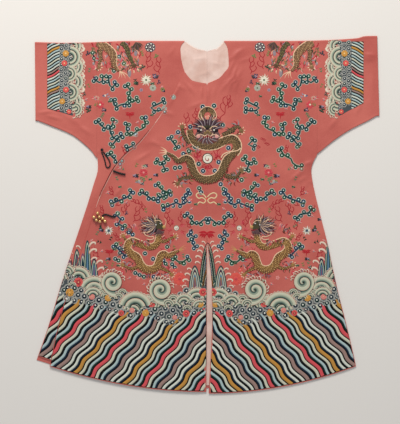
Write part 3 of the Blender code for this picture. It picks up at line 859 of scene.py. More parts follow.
CLOUDS = (                               # chains of joints: out, down
    ((404, 146), (384, 156), (377, 134), (361, 125), (356, 148), (348, 174), (333, 161)),
    ((288, 168), (274, 189), (286, 210), (278, 230), (254, 218)),
    ((284, 232), (310, 236), (332, 245), (340, 222)),
    ((156, 224), (178, 236), (200, 248), (178, 260), (154, 256)),
    ((396, 300), (376, 320), (352, 322), (338, 298)),
    ((352, 326), (346, 350), (326, 362), (312, 352)),
    ((328, 366), (342, 384)),
    ((226, 288), (222, 318), (254, 334), (273, 350), (291, 330), (289, 312)),
    ((178, 446), (158, 452), (146, 436)),
    ((160, 456), (152, 474)),
    ((181, 534), (164, 552), (140, 562), (150, 574), (176, 576)),
    ((70, 560), (88, 574), (72, 590), (94, 606), (118, 598), (140, 610), (160, 616)),
    ((281, 560), (294, 578), (316, 586), (350, 600)),
    ((241, 562), (218, 574), (196, 592), (170, 578), (140, 564)),
    ((78, 646), (60, 662), (40, 680), (16, 662), (0, 664)),
    ((64, 716), (46, 730), (62, 742), (48, 760)),
    ((341, 760), (326, 774), (308, 792)),
    ((122, 806), (100, 820), (76, 806)),
)
CLOUDS_LEFT = (                          # only on the wearer's left
    ((280, 404), (292, 424), (316, 436), (324, 456), (350, 466)),
    ((176, 368), (160, 384), (178, 392)),
    ((330, 654), (346, 638), (366, 640), (384, 624)),
)
CLOUDS_RIGHT = (                         # only on the wearer's right
    ((128, 362), (116, 378), (106, 392)),
    ((336, 646), (322, 660), (330, 676), (314, 686)),
    ((352, 420), (336, 438), (316, 448)),
    ((286, 396), (268, 388)),
)
LOBES = (                                # lobes by themselves: out, down
    (118, 208), (100, 338), (61, 463), (9, 244), (-33, 240), (55, 318), (-65, 312), (-86, 396),
    (37, 392), (26, 392), (81, 418), (60, 408), (114, 470), (96, 468), (26, 455), (-48, 448),
    (11, 481), (-33, 481), (28, 545), (22, 560), (-52, 530), (-62, 548), (-130, 514),
)
SMALL_CLOUDS = (                         # round the shoulder dragons and the skirt dragons
    ((416, 44), (411, 64)), ((318, 58),), ((337, 111),), ((300, 84),),
    ((278, 716), (292, 708)), ((232, 786),), ((202, 806),), ((268, 858), (252, 866), (236, 872)),
    ((200, 872), (184, 878)), ((164, 812), (156, 824)), ((312, 772), (324, 784)), ((150, 762),),
    ((330, 812), (342, 806)), ((132, 826), (122, 838)),
)
work = Embroidery()
draw = random.Random(7)
for chain in CLOUDS:
    cloud(work, chain, draw)
for chains, side in ((CLOUDS_LEFT, 1), (CLOUDS_RIGHT, -1)):
    work.sides = (side,)
    for chain in chains:
        cloud(work, chain, draw)
for chain in SMALL_CLOUDS:
    if len(chain) > 1:
        work.ribbon("cloud_outline", chain, CLOUD_LINK + 2.0 * OUTLINE, 0.14)
    for centre in chain:
        lobe(work, centre, draw.choice(SHADED), LOBE * 0.94)
    if len(chain) > 1:
        work.ribbon("cloud_navy", chain, CLOUD_LINK * 0.8, 0.55)
work.sides = (-1,)
for centre in LOBES:
    lobe(work, centre, draw.choice(SHADED))
work.lay("embroidery_clouds", CLOUD_TONES)


# Standing water -------------------------------------------------------------------------------
# Slanting, gently waving bands of satin stitch over padding, from the foam down to the hem: a
# coloured band every 64 mm, with pale, green and blue between.  Under them lies a black sheet,
# painted shadow that shows in the gaps between the padded bands.  Both halves mirror.
STRIPE_TONES = {"coral": "#D5545A", "gold": "#C08C42", "mauve": "#9C8078", "cream": "#CCCDB8",
                "black": "#060A0A", "deep_teal": "#0E2E29", "deep_navy": "#10253C",
                "ice_blue": "#AAC0C0", "milk": "#D2D7CB"}
# A band with no thread is a gap where the black sheet of painted shadow shows.
BANDS = {                                # after each coloured band: thread, share of a group
    "coral": ((None, 0.08), ("deep_teal", 0.10), ("ice_blue", 0.17), (None, 0.16),
              ("cream", 0.17), (None, 0.09)),
    "gold": ((None, 0.08), ("deep_navy", 0.10), ("milk", 0.17), (None, 0.16),
             ("milk", 0.17), (None, 0.09)),
    "mauve": ((None, 0.08), ("deep_navy", 0.10), ("ice_blue", 0.17), (None, 0.17),
              ("cream", 0.18), (None, 0.07)),
}
BAND_COLOURS = ("coral", "gold", "mauve")
COLOUR_SHARE = 0.23
BAND_RISE = ((0.0, 0.1), (0.14, 1.1), (0.5, 2.0), (0.86, 1.1), (1.0, 0.1))
HEM_GROUPS = (                           # where each coloured band meets the hem: out, down, slope
    (-6, (-420, 1330, 1.0)), (-1, (-34, 1296, 1.0)), (0, (46, 1292, 0.94)), (1, (110, 1286, 0.80)),
    (2, (175, 1280, 0.79)),
    (3, (238, 1270, 0.78)), (4, (302, 1264, 0.80)), (5, (366, 1252, 0.83)),
    (6, (431, 1240, 0.85)), (7, (488, 1222, 0.87)), (8, (544, 1202, 0.89)),
    (9, (600, 1180, 0.91)), (10, (656, 1155, 0.93)), (12, (768, 1100, 0.96)),
    (16, (992, 980, 1.0)),
)
STRIPE_WAVE, STRIPE_SWAY = 92.0, 4.6     # length and half height of their waves
STRIPE_STEP = 6.0
HEM_MARGIN, SIDE_MARGIN = 4.0, 2.0
STRIPES_FROM, HEM_DEPTH = 780.0, 1150.0  # edges are read from here down, and the hem's width here
GROUND_RISE, STRIPE_RISE = 14.0, 16.0    # the black sheet of painted shadow and the stripes run this far under the foam
GROUND_GRID, GROUPS = (26, 76), range(-5, 16)
FOAM_EDGE = (                            # the foam's lower edge: out, down
    (0, 60, 100, 137, 185, 229, 252, 275, 310, 350, 400, 450, 520, 562, 600, 700),
    (1000, 1012, 1034, 1052, 1030, 1002, 1004, 1026, 1010, 1004, 990, 976, 962, 928, 905, 840),
)


def stripe_line(group, down):
    """How far out a stripe's line lies at a depth, with its wave."""
    numbers = [row[0] for row in HEM_GROUPS]
    out, foot, slope = (np.interp(group, numbers, [row[1][k] for row in HEM_GROUPS])
                        for k in range(3))
    straight = out - slope * (foot - down)
    turn = 2.0 * math.pi * (0.59 * straight + 0.81 * down) / STRIPE_WAVE
    return straight + STRIPE_SWAY * 1.24 * np.sin(turn)


def standing_water(work, pattern, side, shift=0.0, margins=(SIDE_MARGIN, SIDE_MARGIN)):
    """Every stripe over one panel, each cut where the panel, the hem or the foam ends."""
    near, far = (1, 2) if side > 0 else (2, 1)
    down = np.arange(STRIPES_FROM, pattern.high[1], 2.0)
    axis = work.centre(1100.0)
    inner = side * (pattern.side(down, near) - axis) + margins[0]
    outer = side * (pattern.side(np.minimum(down, pattern.sides[0][np.argmax(
        abs(pattern.sides[far]))]), far) - axis) - margins[1]
    hem = end_line(pattern, 2, VENT_CLEAR, abs(pattern.side(HEM_DEPTH, far)) - 2.0)
    a, d = spread_grid(pattern, *GROUND_GRID, lambda d: axis + side * inner.min() + 0.0 * d,
                       lambda d: axis + side * np.interp(d, down, outer),
                       lambda a: np.interp(side * (a - axis), *FOAM_EDGE) - GROUND_RISE,
                       lambda a: hem(a) - HEM_MARGIN + 1.0)
    # A black sheet under all the stripes: painted shadow, seen in the gaps between the padded
    # bands.
    work.lines("black", [[(side * (x - axis), y, 0.12) for x, y in zip(*row)]
                         for row in zip(a.tolist(), d.tolist())])
    for number in GROUPS:
        at = float(number)
        colour = BAND_COLOURS[number % 3]
        for tone, share in ((colour, COLOUR_SHARE),) + BANDS[colour]:
            columns = []
            for part, rise in BAND_RISE:
                group = at + shift + share * part - COLOUR_SHARE / 2.0
                out = stripe_line(group, down)
                inside = ((out > inner) & (out < outer)
                          & (down > np.interp(out, *FOAM_EDGE) - STRIPE_RISE)
                          & (down < hem(axis + side * out) - HEM_MARGIN))
                run = np.flatnonzero(inside)
                columns.append((group, down[run[0]], down[run[-1]]) if len(run) > 4 else None)
            known = [c for c in columns if c]
            at += share
            if len(known) < 2 or tone is None:
                continue
            fallback = known[0] if columns[0] is None else known[-1]
            columns = [c or (g, fallback[1], fallback[1]) for c, g in
                       zip(columns, (k[0] if k else fallback[0] for k in columns))]
            steps = max(3, int(max(c[2] - c[1] for c in columns) / STRIPE_STEP))
            work.lines(tone, [[(float(stripe_line(c[0], d)), float(d), rise)
                               for d in np.linspace(c[1], c[2], steps)]
                              for c, (part, rise) in zip(columns, BAND_RISE)])


panels = {name: Pattern(name) for name in ("front_left", "front_overlap", "front_inner")}
STRIPED = (                              # panel, side, offset of its pattern in groups
    ("front_left", 1, 0.0), ("front_overlap", -1, 0.0), ("front_inner", -1, 1.35),
)
for name, side, shift in STRIPED:
    work = Embroidery((side,))
    standing_water(work, panels[name], side, shift)
    work.lay(f"embroidery_water_{name[6:]}", STRIPE_TONES, cloth_tree([f"{name}_silk"]), 0.38,
             panels["front_overlap"] if name == "front_inner" else None)


# Foam and waves -------------------------------------------------------------------------------
# Above the standing water a sea breaks: a bank of ringed foam bubbles in dark and pale silk,
# each with a painted white highlight, great curling waves in celadon with dark contours, and
# pink fingers of spray along the crests, each with a painted white highlight along it.
# Two of these tones are painted highlights: the white spot on each bubble, and the spray line along
# each finger of spray.
SEA_TONES = {"foam_ground": "#4A5155", "foam_line": "#C2BEB2", "foam_grey": "#858B8A",
             "ring_navy": "#0E1E2C", "ring_green": "#12302B", "ring_slate": "#212E38",
             "bubble_highlight_white": "#E4E5DC", "celadon": "#C6C8B1", "celadon_mid": "#98A390",
             "celadon_deep": "#566B62", "contour": "#18221F", "spray": "#DED5C0",
             "shell_pink": "#D8A091", "shell_line": "#D3B6A0", "petal_coral": "#D95A55",
             "petal_gold": "#CE9546", "petal_pink": "#D8897F", "petal_dark": "#A83A40",
             "flower_eye": "#F0C98C"}
BUBBLE = 8.4                             # radius of a bubble's dark middle
BUBBLE_PITCH = 26.0
FOAM_TOP = (                             # behind the waves, where the foam bank begins
    (0, 60, 120, 200, 260, 330, 400, 460, 520, 620),
    (905, 915, 940, 950, 935, 925, 905, 880, 850, 820),
)
FLOWERS_IN_FOAM = (                      # out, down, radius, petals, colour
    (478, 892, 17, "petal_coral"), (510, 930, 15, "petal_gold"), (368, 950, 13, "petal_gold"),
    (428, 946, 11, "petal_pink"), (207, 972, 13, "petal_coral"), (230, 1006, 13, "petal_gold"),
    (280, 996, 10, "petal_pink"), (320, 1006, 11, "petal_coral"), (80, 1008, 13, "petal_coral"),
    (28, 973, 13, "petal_gold"), (18, 929, 15, "petal_coral"), (122, 1022, 9, "petal_pink"),
)


def flower(work, centre, radius, petals, eye, count=7, turn=0.0, heart=0.34):
    """A round flower of lobed petals about a small eye."""
    for k in range(count):
        angle = turn + 2.0 * math.pi * k / count
        work.disc(petals, away(centre, -angle, 0.62 * radius), radius * 0.42, LIFT, 8)
    work.disc(petals, centre, radius * 0.55, LIFT * 1.1, 8)
    work.disc(eye, centre, radius * heart, LIFT * 1.6, 8)


def bubble(work, spot, size, tone):
    """One bubble of foam: a pale edge, a grey ring, a dark middle and a painted white highlight."""
    work.level += 0.15
    work.disc("foam_line", spot, size * 1.56, 0.15, 14)
    work.level += 0.15
    work.disc("foam_grey", spot, size * 1.38, 0.15, 14)
    work.level += 0.15
    work.disc(tone, spot, size, 0.35, 14)
    work.level += 0.4
    # The small white disc, set towards the light, is a painted highlight.
    work.disc("bubble_highlight_white", (spot[0] - size * 0.05, spot[1] - size * 0.1), size * 0.36, 0.3, 8)
    work.level -= 0.85


def foam_bank(work, pattern, side, draw):
    """Dark ground and ringed bubbles, from the waves down to the foam's scalloped edge."""
    near, far = (1, 2) if side > 0 else (2, 1)
    axis = work.centre(1000.0)
    out, down = spread_grid(
        pattern, 14, 90, lambda d: side * (pattern.side(d, near) - axis) + 1.0,
        lambda d: side * (pattern.side(d, far) - axis) - 1.0,
        lambda a: np.interp(a, *FOAM_TOP), lambda a: np.interp(a, *FOAM_EDGE) + 1.0)
    rise = np.full(out.shape, 1.1)
    rise[-1] = -SINK
    work.lines("foam_ground", [list(zip(*row)) for row in
                               zip(out.tolist(), down.tolist(), rise.tolist())])
    widest = out.max()
    work.level = 1.1
    for row in range(9):
        for k in range(int(widest / BUBBLE_PITCH) + 2):
            a = (k + 0.5 * (row % 2)) * BUBBLE_PITCH + draw.uniform(-2.6, 2.6)
            d = np.interp(a, *FOAM_EDGE) - 7.0 - row * BUBBLE_PITCH * 0.87
            d += draw.uniform(-2.4, 2.4)
            tone = draw.choice(("ring_navy", "ring_navy", "ring_green", "ring_slate"))
            if d >= np.interp(a, *FOAM_TOP) and out[-1].min() - 6.0 < a < widest + 6.0:
                bubble(work, (a, d), BUBBLE * draw.uniform(0.86, 1.06), tone)
    work.level = 0.0


CLAW = ((0.0, 0.0), (0.45, -0.06), (0.82, 0.12), (0.95, 0.42), (0.72, 0.55))


def claw(work, root, heading, size, hand=1.0, thread="shell_pink"):
    """A finger of spray that hooks over at its tip, with a painted white highlight along it."""
    route = curve(placed(CLAW, root, size, heading, hand), 3)
    work.ribbon(thread, route, size * 0.34, 0.5, taper=((0.0, 0.3, 0.7, 1.0), (0.6, 1.0, 0.9, 0.4)))
    work.level += 0.5
    # The pale line along the finger, in the spray thread, is a painted highlight.
    work.ribbon("spray", route[1:], size * 0.16, 0.25,
                taper=((0.0, 0.3, 0.7, 1.0), (0.3, 1.0, 1.0, 0.5)))
    work.level -= 0.5


def crest(work, centre, radius, start, end, size, squash=1.0):
    """Fingers of spray standing along a wave's crest, leaning the way it rolls."""
    count = max(3, int(abs(math.radians(end - start)) * radius / (size * 0.66)))
    for k in range(count + 1):
        angle = start + (end - start) * k / count
        root = away(centre, math.radians(angle), radius, radius * squash)
        claw(work, root, angle + 22.0, size * (1.0 if k % 2 else 0.72), 1.0,
             "shell_pink" if k % 2 else "shell_line")


def arch(work, centre, radius, start=10.0, end=170.0, inner=0.30, squash=1.0, spray=9.0):
    """Part of a wave: bands of celadon from a dark hollow out to a pale crest, twice over."""
    steps = max(8, int(abs(end - start) / 9.0))
    place = inner
    if spray:
        crest(work, centre, radius * 0.94, start, end, spray, squash)
    work.level += 0.5
    work.ribbon("contour", arc(centre, radius * (1.0 + inner) / 2.0, start, end, steps, squash),
                radius * (1.0 - inner) + 1.6, 0.1)
    work.level += 0.15
    for tone, width in (("contour", 0.05), ("celadon_deep", 0.10), ("celadon_mid", 0.10),
                        ("celadon", 0.17), ("shell_line", 0.05), ("contour", 0.06),
                        ("celadon_deep", 0.09), ("celadon_mid", 0.12), ("celadon", 0.20),
                        ("shell_line", 0.06)):
        width *= 1.0 - inner
        work.ribbon(tone, arc(centre, radius * (place + width / 2.0), start, end, steps, squash),
                    radius * width + 0.3, 0.35)
        place += width
    work.level -= 0.65


WINDING = 690.0                          # degrees that a curling wave winds through
LEAN = math.radians(-35.0)


def curl(work, centre, radius):
    """A great wave: its back sweeps up, rolls over and winds in, and its lip foams."""
    crest(work, centre, radius * 0.95, -10.0, 160.0, radius * 0.34)
    work.level += 0.7
    turns = np.radians(np.linspace(-70.0, WINDING, 50))

    def lip(turn):
        """How far out the wave's outer edge lies after a turn."""
        wound = np.clip(turn / math.radians(WINDING), 0.0, 1.0)
        return radius * (1.0 - 0.96 * wound ** 1.6 + 0.30 * np.clip(-turn, 0.0, 2.0) ** 1.5)

    outer, inner = lip(turns), lip(turns + 2.0 * math.pi)
    for tone, low, high, rise in (("contour", -0.02, 0.12, 0.0), ("celadon_deep", 0.10, 0.30, 0.2),
                                  ("celadon_mid", 0.28, 0.50, 0.5), ("celadon", 0.48, 0.92, 0.8),
                                  ("shell_line", 0.90, 1.0, 0.4), ("contour", 0.99, 1.05, 0.0)):
        work.lines(tone, [[(*away(centre, t + LEAN, r), h)
                           for r, t in zip(inner + (outer - inner) * share, turns)]
                          for share, h in ((low, 0.0), ((low + high) / 2.0, rise), (high, 0.0))])
    work.level -= 0.7


ARCHES = (                               # out, down, radius, start, end: the far ones first
    (40, 958, 44, 20, 165), (88, 970, 34, 10, 150), (30, 985, 28, 10, 120),
    (118, 985, 30, 20, 160), (228, 975, 34, 0, 140), (268, 990, 62, 15, 165),
    (276, 1000, 38, 15, 165), (420, 925, 54, 20, 165), (424, 945, 34, 20, 160),
    (478, 880, 44, 30, 170), (522, 858, 30, 10, 170), (548, 880, 28, 20, 180),
)
CURLS = ((353, 893, 41), (174, 921, 43))
RUFFLES = (                              # foam tumbling under a curl: out, down, radius
    (128, 948, 20), (146, 964, 22), (172, 975, 24), (200, 966, 21), (222, 950, 18),
    (316, 924, 17), (330, 940, 18), (352, 946, 19), (378, 938, 18), (396, 926, 15),
    (60, 962, 17), (76, 984, 17), (444, 914, 14), (500, 898, 15),
)
for name, side, shift in STRIPED:
    work = Embroidery((side,))
    draw = random.Random(12)
    foam_bank(work, panels[name], side, draw)
    for k, row in enumerate(ARCHES):
        work.level = 1.2 + 0.5 * (k % 3)
        arch(work, row[:2], *row[2:])
    for k, (a, d, radius) in enumerate(RUFFLES):
        work.level = 1.7 + 0.4 * (k % 2)
        arch(work, (a, d + radius * 0.4), radius, 0, 180, 0.25, 0.9, 7.0 if k % 2 == 0 else 0.0)
    work.level = 2.3
    for a, d, radius in CURLS:
        curl(work, (a, d), radius)
    for a, d, radius, petals in FLOWERS_IN_FOAM:
        flower(work, (a, d), radius, petals, "flower_eye", 8, a * 0.1)
        work.level += 0.5
        flower(work, (a, d), radius * 0.55, "petal_dark" if petals == "petal_coral" else petals,
               "flower_eye", 5, a)
        work.level -= 0.5
    work.level = 0.0
    work.lay(f"embroidery_sea_{name[6:]}", SEA_TONES, cloth_tree([f"{name}_silk"]),
             cover=panels["front_overlap"] if name == "front_inner" else None)


# Dragons --------------------------------------------------------------------------------------
# A great dragon faces forward on the chest; a smaller one strides on either skirt, and one more
# climbs each shoulder.  Their bodies are gold-wrapped thread laid in pairs and couched down with
# brown silk in the pattern of scales, with cream silk along the back.
GILT_TONES = {"gold_scale": "#A47A44", "gold_light": "#C49A5C", "gold_dark": "#5E3A22"}
FADED_TONES = {"gold_scale": "#94704C", "gold_light": "#B28C62", "gold_dark": "#62432E"}
AGED_TONES = {"gold_scale": "#7E643E", "gold_light": "#977A50", "gold_dark": "#3A291C"}
DRAGON_TONES = {"back_line": "#E6C3A0", "belly_line": "#7A2A28", "mane": "#4A333D",
                "mane_grey": "#93868A", "mane_dark": "#22181D", "beard": "#6B504E",
                "flame": "#AE2632", "flame_pink": "#CF5560", "eye_white": "#E9E6DA",
                "eye_dark": "#171316", "jowl": "#D99A93", "mouth": "#7C1F26",
                "tooth": "#EEE2CC", "moss": "#4A4630", "olive": "#7E7046", "jewel": "#DE8A78",
                "pearl_white": "#E6E0CF", "pearl_ring": "#4B4238",
                "pearl_grey": "#A9AC9C"}
SCALE_STEP = 6.2                         # a row of scales this often


def gold_thread(name, tone):
    """Gilt paper wrapped on silk: a dull, broken metal gleam that has worn back in places."""
    material, tree, shader = new_material(f"{name}_couched_gilt", tone, Roughness=0.42,
                                          Metallic=0.35)
    place = add_node(tree, "ShaderNodeTexCoord").outputs["Object"]
    # A gilt thread is 0.4 mm thick; a laid pair is drawn 2 mm wide, so that it shows.
    laid = add_node(tree, "ShaderNodeTexWave", {"Vector": place, "Scale": 1.0 / (2.0 * MM) / 20.0,
                                                "Distortion": 5.0, "Detail": 2.0,
                                                "Detail Scale": 2.0}, bands_direction="Y")
    rubbed = add_node(tree, "ShaderNodeTexNoise", {"Vector": place, "Scale": 90.0, "Detail": 3.0})
    bump = add_node(tree, "ShaderNodeBump", {"Height": laid.outputs["Fac"], "Strength": 0.5,
                                             "Distance": 0.0006})
    dull = add_node(tree, "ShaderNodeMapRange", {"Value": rubbed.outputs["Fac"],
                                                 "To Min": 0.34, "To Max": 0.62})
    tree.links.new(dull.outputs["Result"], shader.inputs["Roughness"])
    tree.links.new(bump.outputs["Normal"], shader.inputs["Normal"])
    return material


for prefix, tones in (("bright", GILT_TONES), ("aged", AGED_TONES), ("faded", FADED_TONES)):
    for name, tone in tones.items():
        spools[name, tone] = gold_thread(f"{prefix}_{name}", tone)


def body(work, route, width, taper, back=1.0, fins=True, base=0.0):
    """A dragon's body: dark ground, rows of gilt scales, a belly line and a cream back."""
    line = even(curve(route, 6), 5.0)
    work.level = base
    work.ribbon("gold_dark", line, width, 0.7, taper=taper)
    shares = np.linspace(0.0, 1.0, len(line))
    widths = width * np.interp(shares, *taper)
    marks = even(line, SCALE_STEP)
    work.level = base + 0.75
    for row, (here, after) in enumerate(zip(marks, marks[1:])):
        half = 0.46 * np.interp(row / max(1, len(marks) - 2), shares, widths)
        east, south = (after[0] - here[0]) / SCALE_STEP, (after[1] - here[1]) / SCALE_STEP
        number = max(2, round(2.0 * half / SCALE_STEP))
        pitch = 2.0 * half / number
        for k in range(number + row % 2):
            aside = (k + 0.5 * (1 - row % 2) - number / 2.0) * pitch
            reach = 0.46 * pitch * (0.6 if abs(aside) > half - 0.4 * pitch else 1.0)
            outline = [(here[0] + east * f - south * (aside + g * reach),
                        here[1] + south * f + east * (aside + g * reach))
                       for f, g in ((-2.3, 0.6), (1.2, 1.0), (3.4, 0.0), (1.2, -1.0), (-2.3, -0.6))]
            work.patch("gold_light" if (k + row // 2) % 2 else "gold_scale", outline, 0.1)
    work.level = base + 0.35
    work.ribbon("belly_line", line, width * 0.12, 0.5, taper=taper, shift=-back * 4.0)
    work.ribbon("back_line", line, width * 0.14, 0.8, taper=taper, shift=back * 3.7)
    if fins:
        for row, (here, after) in enumerate(zip(marks, marks[1:])):
            half = 0.5 * np.interp(row / max(1, len(marks) - 2), shares, widths)
            east, south = (after[0] - here[0]) / SCALE_STEP, (after[1] - here[1]) / SCALE_STEP
            root = (here[0] + back * south * half * 0.92, here[1] - back * east * half * 0.92)
            work.spike("gold_dark" if row % 2 else "belly_line", root,
                       (root[0] + back * south * 5.0 + east * 4.0,
                        root[1] - back * east * 5.0 + south * 4.0), 3.0, 0.1)
    work.level = 0.0


LIMB_SCALE = ((-1.2, 0.2), (1.0, 0.4), (2.4, 0.0), (1.0, -0.4), (-1.2, -0.2))


def limb(work, route, width, heading, reach=17.0,
         threads=("gold_dark", "gold_light", "gold_scale")):
    """A leg that ends in a paw with five hooked claws, with flames at its elbow."""
    line = even(curve(route, 6), 4.0)
    elbow = route[len(route) // 2]
    for turn in (-70, -35, 0, 35):
        angle = math.radians(heading + 180.0 + turn)
        work.spike("flame" if turn in (-35, 35) else "mane_grey", elbow,
                   away(elbow, angle, 26.0), 6.0, 0.2)
    ground, bright, plain = threads
    work.ribbon(ground, line, width, 0.75, taper=((0.0, 0.55, 1.0), (1.0, 0.8, 0.5)))
    work.level = 0.8
    for k, (here, after) in enumerate(zip(line, line[1:])):
        half = width * (0.40 - 0.18 * k / len(line))
        east, south = (after[0] - here[0]) / 4.0, (after[1] - here[1]) / 4.0
        for g in (-0.55, 0.55) if k % 2 else (-0.1,):
            work.patch(bright if k % 3 else plain,
                       [(here[0] + east * f - south * half * (g + h),
                         here[1] + south * f + east * half * (g + h))
                        for f, h in LIMB_SCALE], 0.1)
    work.level = 0.4
    paw = route[-1]
    work.disc(plain, paw, width * 0.36, 0.5, 10)
    for turn in (-95, -50, -10, 30, 80):
        angle = math.radians(heading + turn)
        middle = away(paw, angle, 0.6 * reach)
        work.spike(plain, paw, middle, 6.0, 0.1, 0.4)
        work.spike("back_line", middle, away(paw, angle, reach), 4.2, 0.25, 0.4)
    work.level = 0.0


def flames(work, root, heading, strokes=5, reach=34.0, spread=100.0, width=4.2):
    """Tongues of red flame from a root, each bending over to its tip."""
    for k in range(strokes):
        turn = spread * (k / max(1, strokes - 1) - 0.5)
        angle = math.radians(heading + turn)
        length = reach * (1.0 - 0.3 * abs(turn) / spread)
        work.spike("flame_pink" if k % 2 else "flame", away(root, angle, 0.25 * length),
                   away(root, angle, length), width, 0.22 if turn > 0 else -0.22)


def pearl(work, centre, radius):
    """The flaming pearl: a dark ring, a white spiral and a red heart."""
    work.disc("pearl_ring", centre, radius, 0.4, 20)
    work.level += 0.35
    work.disc("pearl_white", centre, radius * 0.80, 0.35, 16)
    work.level += 0.3
    spiral = [(centre[0] + radius * 0.62 * (1.0 - t) * math.cos(7.5 * t + 0.6),
               centre[1] - radius * 0.62 * (1.0 - t) * math.sin(7.5 * t + 0.6))
              for t in np.linspace(0.0, 0.85, 18)]
    work.ribbon("pearl_grey", spiral, radius * 0.16, 0.3)
    work.ribbon("flame", [(a + 0.05 * radius, d + 0.1 * radius) for a, d in spiral[6:]],
                radius * 0.16, 0.5)
    work.level -= 0.65


# The chest dragon is drawn across both halves, with the centre seam under its snout.
CHEST_BODY = (
    (-63, 330), (-60, 352), (-44, 376), (-20, 388), (6, 391), (34, 386), (60, 372), (84, 358),
    (104, 366), (112, 386), (108, 407), (93, 423), (75, 438), (64, 462), (53, 487), (31, 507),
    (3, 514), (-24, 510), (-44, 493), (-55, 468), (-62, 445), (-76, 434), (-93, 440),
    (-107, 446), (-118, 434), (-132, 422), (-149, 414),
)
COIL = ((48, 377), (76, 366), (97, 364), (110, 380), (110, 400), (100, 414))
CHEST_TAPER = ((0.0, 0.12, 0.3, 0.7, 0.86, 1.0), (0.7, 1.0, 1.0, 0.96, 0.62, 0.22))
FACE = (2.0, 338.0)


def face(out, down):
    return FACE[0] + out, FACE[1] + down


work = Embroidery((1,), 0.0)
for tip, bend in (((-172, 392), 0.1), ((-176, 404), 0.1), ((-178, 415), 0.0), ((-170, 424), -0.1)):
    work.spike("back_line", (-146, 414), tip, 5.0, bend)
for route, width, heading in (
        (((-62, 378), (-86, 350), (-92, 318)), 22.0, 95.0),
        (((58, 350), (88, 334), (112, 316), (126, 332)), 22.0, -20.0),
        (((-42, 500), (-70, 506), (-92, 508), (-108, 528)), 20.0, -120.0),
        (((66, 498), (96, 506), (112, 500), (126, 478)), 20.0, 75.0)):
    limb(work, route, width, heading)
body(work, CHEST_BODY[:7], 28.0, ((0.0, 1.0), (0.8, 1.0)), back=1.0, fins=False)
body(work, COIL, 32.0, ((0.0, 1.0), (0.9, 1.0)), back=-1.0, fins=False)
body(work, CHEST_BODY[10:], 29.0, CHEST_TAPER, back=1.0, fins=True, base=0.9)
body(work, ((-21, 282), (-18, 266), (-8, 256), (2, 253), (12, 256), (22, 266), (25, 282)), 19.0,
     ((0.0, 1.0), (1.0, 1.0)), back=-1.0, fins=False)
draw = random.Random(5)
work.level = 0.3
work.disc("mane_dark", face(0.0, -6.0), 40.0, 0.4, 24, 0.82)
work.disc("beard", face(0.0, 16.0), 47.0, 0.4, 24, 0.7)
work.level = 0.7
for k in range(26):                      # wisps of beard between the face and the body
    turn = math.radians(190.0 + 160.0 * k / 25.0)
    reach = 44.0 + 8.0 * draw.random()
    work.spike(("mane_dark", "mane_grey", "beard", "belly_line")[k % 4], face(0.0, 10.0),
               face(reach * math.cos(turn), 14.0 - 0.72 * reach * math.sin(turn)),
               5.0, 0.12)
for k in range(34):                      # the mane stands out all round the brow
    turn = math.radians(8.0 + 164.0 * k / 33.0)
    reach = 58.0 + 12.0 * draw.random() - 10.0 * math.sin(turn) ** 2
    root = face(24.0 * math.cos(turn), -6.0 - 20.0 * math.sin(turn))
    tip = face(reach * math.cos(turn), -4.0 - (reach + 4.0) * math.sin(turn))
    work.spike(("mane", "mane_grey", "mane_dark", "mane")[k % 4], root, tip, 5.4,
               0.08 if turn > math.pi / 2.0 else -0.08, 0.8)
for k in range(15):                      # the beard
    turn = math.radians(200.0 + 140.0 * k / 14.0)
    tip = face(40.0 * math.cos(turn), 14.0 - 34.0 * math.sin(turn))
    work.spike(("beard", "mane_grey", "mane")[k % 3], face(0.0, 14.0), tip, 6.0, 0.1, 0.7)
work.level = 0.7
for side in (-1, 1):
    antler = face(side * 14.0, -42.0)
    for tip in ((side * 24.0, -76.0), (side * 36.0, -62.0)):
        work.spike("back_line", antler, face(*tip), 5.0, 0.12 * side)
work.disc("moss", face(0.0, -22.0), 21.0, 0.5, 20, 0.86)
work.disc("beard", FACE, 24.0, 0.5, 20)
work.disc("mane", face(0.0, 16.0), 19.0, 0.5, 18, 0.8)
work.level = 1.1
work.disc("jewel", face(0.0, -54.0), 6.5, 0.5, 12, 1.3)
work.ring("back_line", face(0.0, -54.0), 9.5, 2.2, 0.3, 14)
for k in range(9):
    turn = math.radians(20.0 + 140.0 * k / 8.0)
    work.spike("mane_dark", face(0.0, -8.0),
               face(19.0 * math.cos(turn), -14.0 - 24.0 * math.sin(turn)), 2.6)
for side in (-1, 1):
    eye = face(side * 24.0, -8.0)
    work.disc("mane_dark", eye, 7.4, 0.5, 14)
    work.disc("jowl", face(side * 34.0, 15.0), 7.5, 0.5, 12)
    work.level = 1.5
    work.disc("eye_white", eye, 3.8, 0.4, 12)
    work.disc("eye_dark", eye, 2.0, 0.7, 8)
    work.ribbon("back_line", curve((face(side * 8.0, -12.0), face(side * 20.0, -22.0),
                                    face(side * 36.0, -20.0))), 2.6, 0.4)
    work.disc("gold_scale", face(side * 9.0, 4.0), 6.0, 0.5, 12)
    work.ribbon("back_line", arc(face(side * 10.0, 6.0), 8.5, 200, 380, 8), 2.2,
                0.5)
    whisker = curve((face(side * 14.0, 12.0), face(side * 30.0, 8.0), face(side * 44.0, 16.0),
                     face(side * 52.0, 6.0)))
    work.ribbon("back_line", whisker, 2.8, 0.5, taper=((0.0, 1.0), (1.0, 0.4)))
    work.level = 1.1
work.disc("gold_scale", face(0.0, -2.0), 7.0, 0.9, 12)
for k in range(22):                      # fine curls of brow, cheek and beard over the face
    turn = 2.4 * k
    reach = 6.0 + 1.5 * k
    root = face(reach * math.cos(turn), 4.0 + 0.7 * reach * math.sin(turn))
    work.spike(("jowl", "mane_dark", "back_line", "mane_dark")[k % 4], root,
               away(root, -turn - 1.3, 9.0, 7.0), 3.4, 0.3, 0.5)
work.level = 1.4
work.ribbon("mouth", curve((face(-16.0, 20.0), face(0.0, 15.0), face(16.0, 20.0))), 8.0, 0.4)
for aside in (-11, -4, 4, 11):
    work.spike("tooth", face(aside, 14.0), face(aside, 23.0), 3.0)
work.level = 0.0
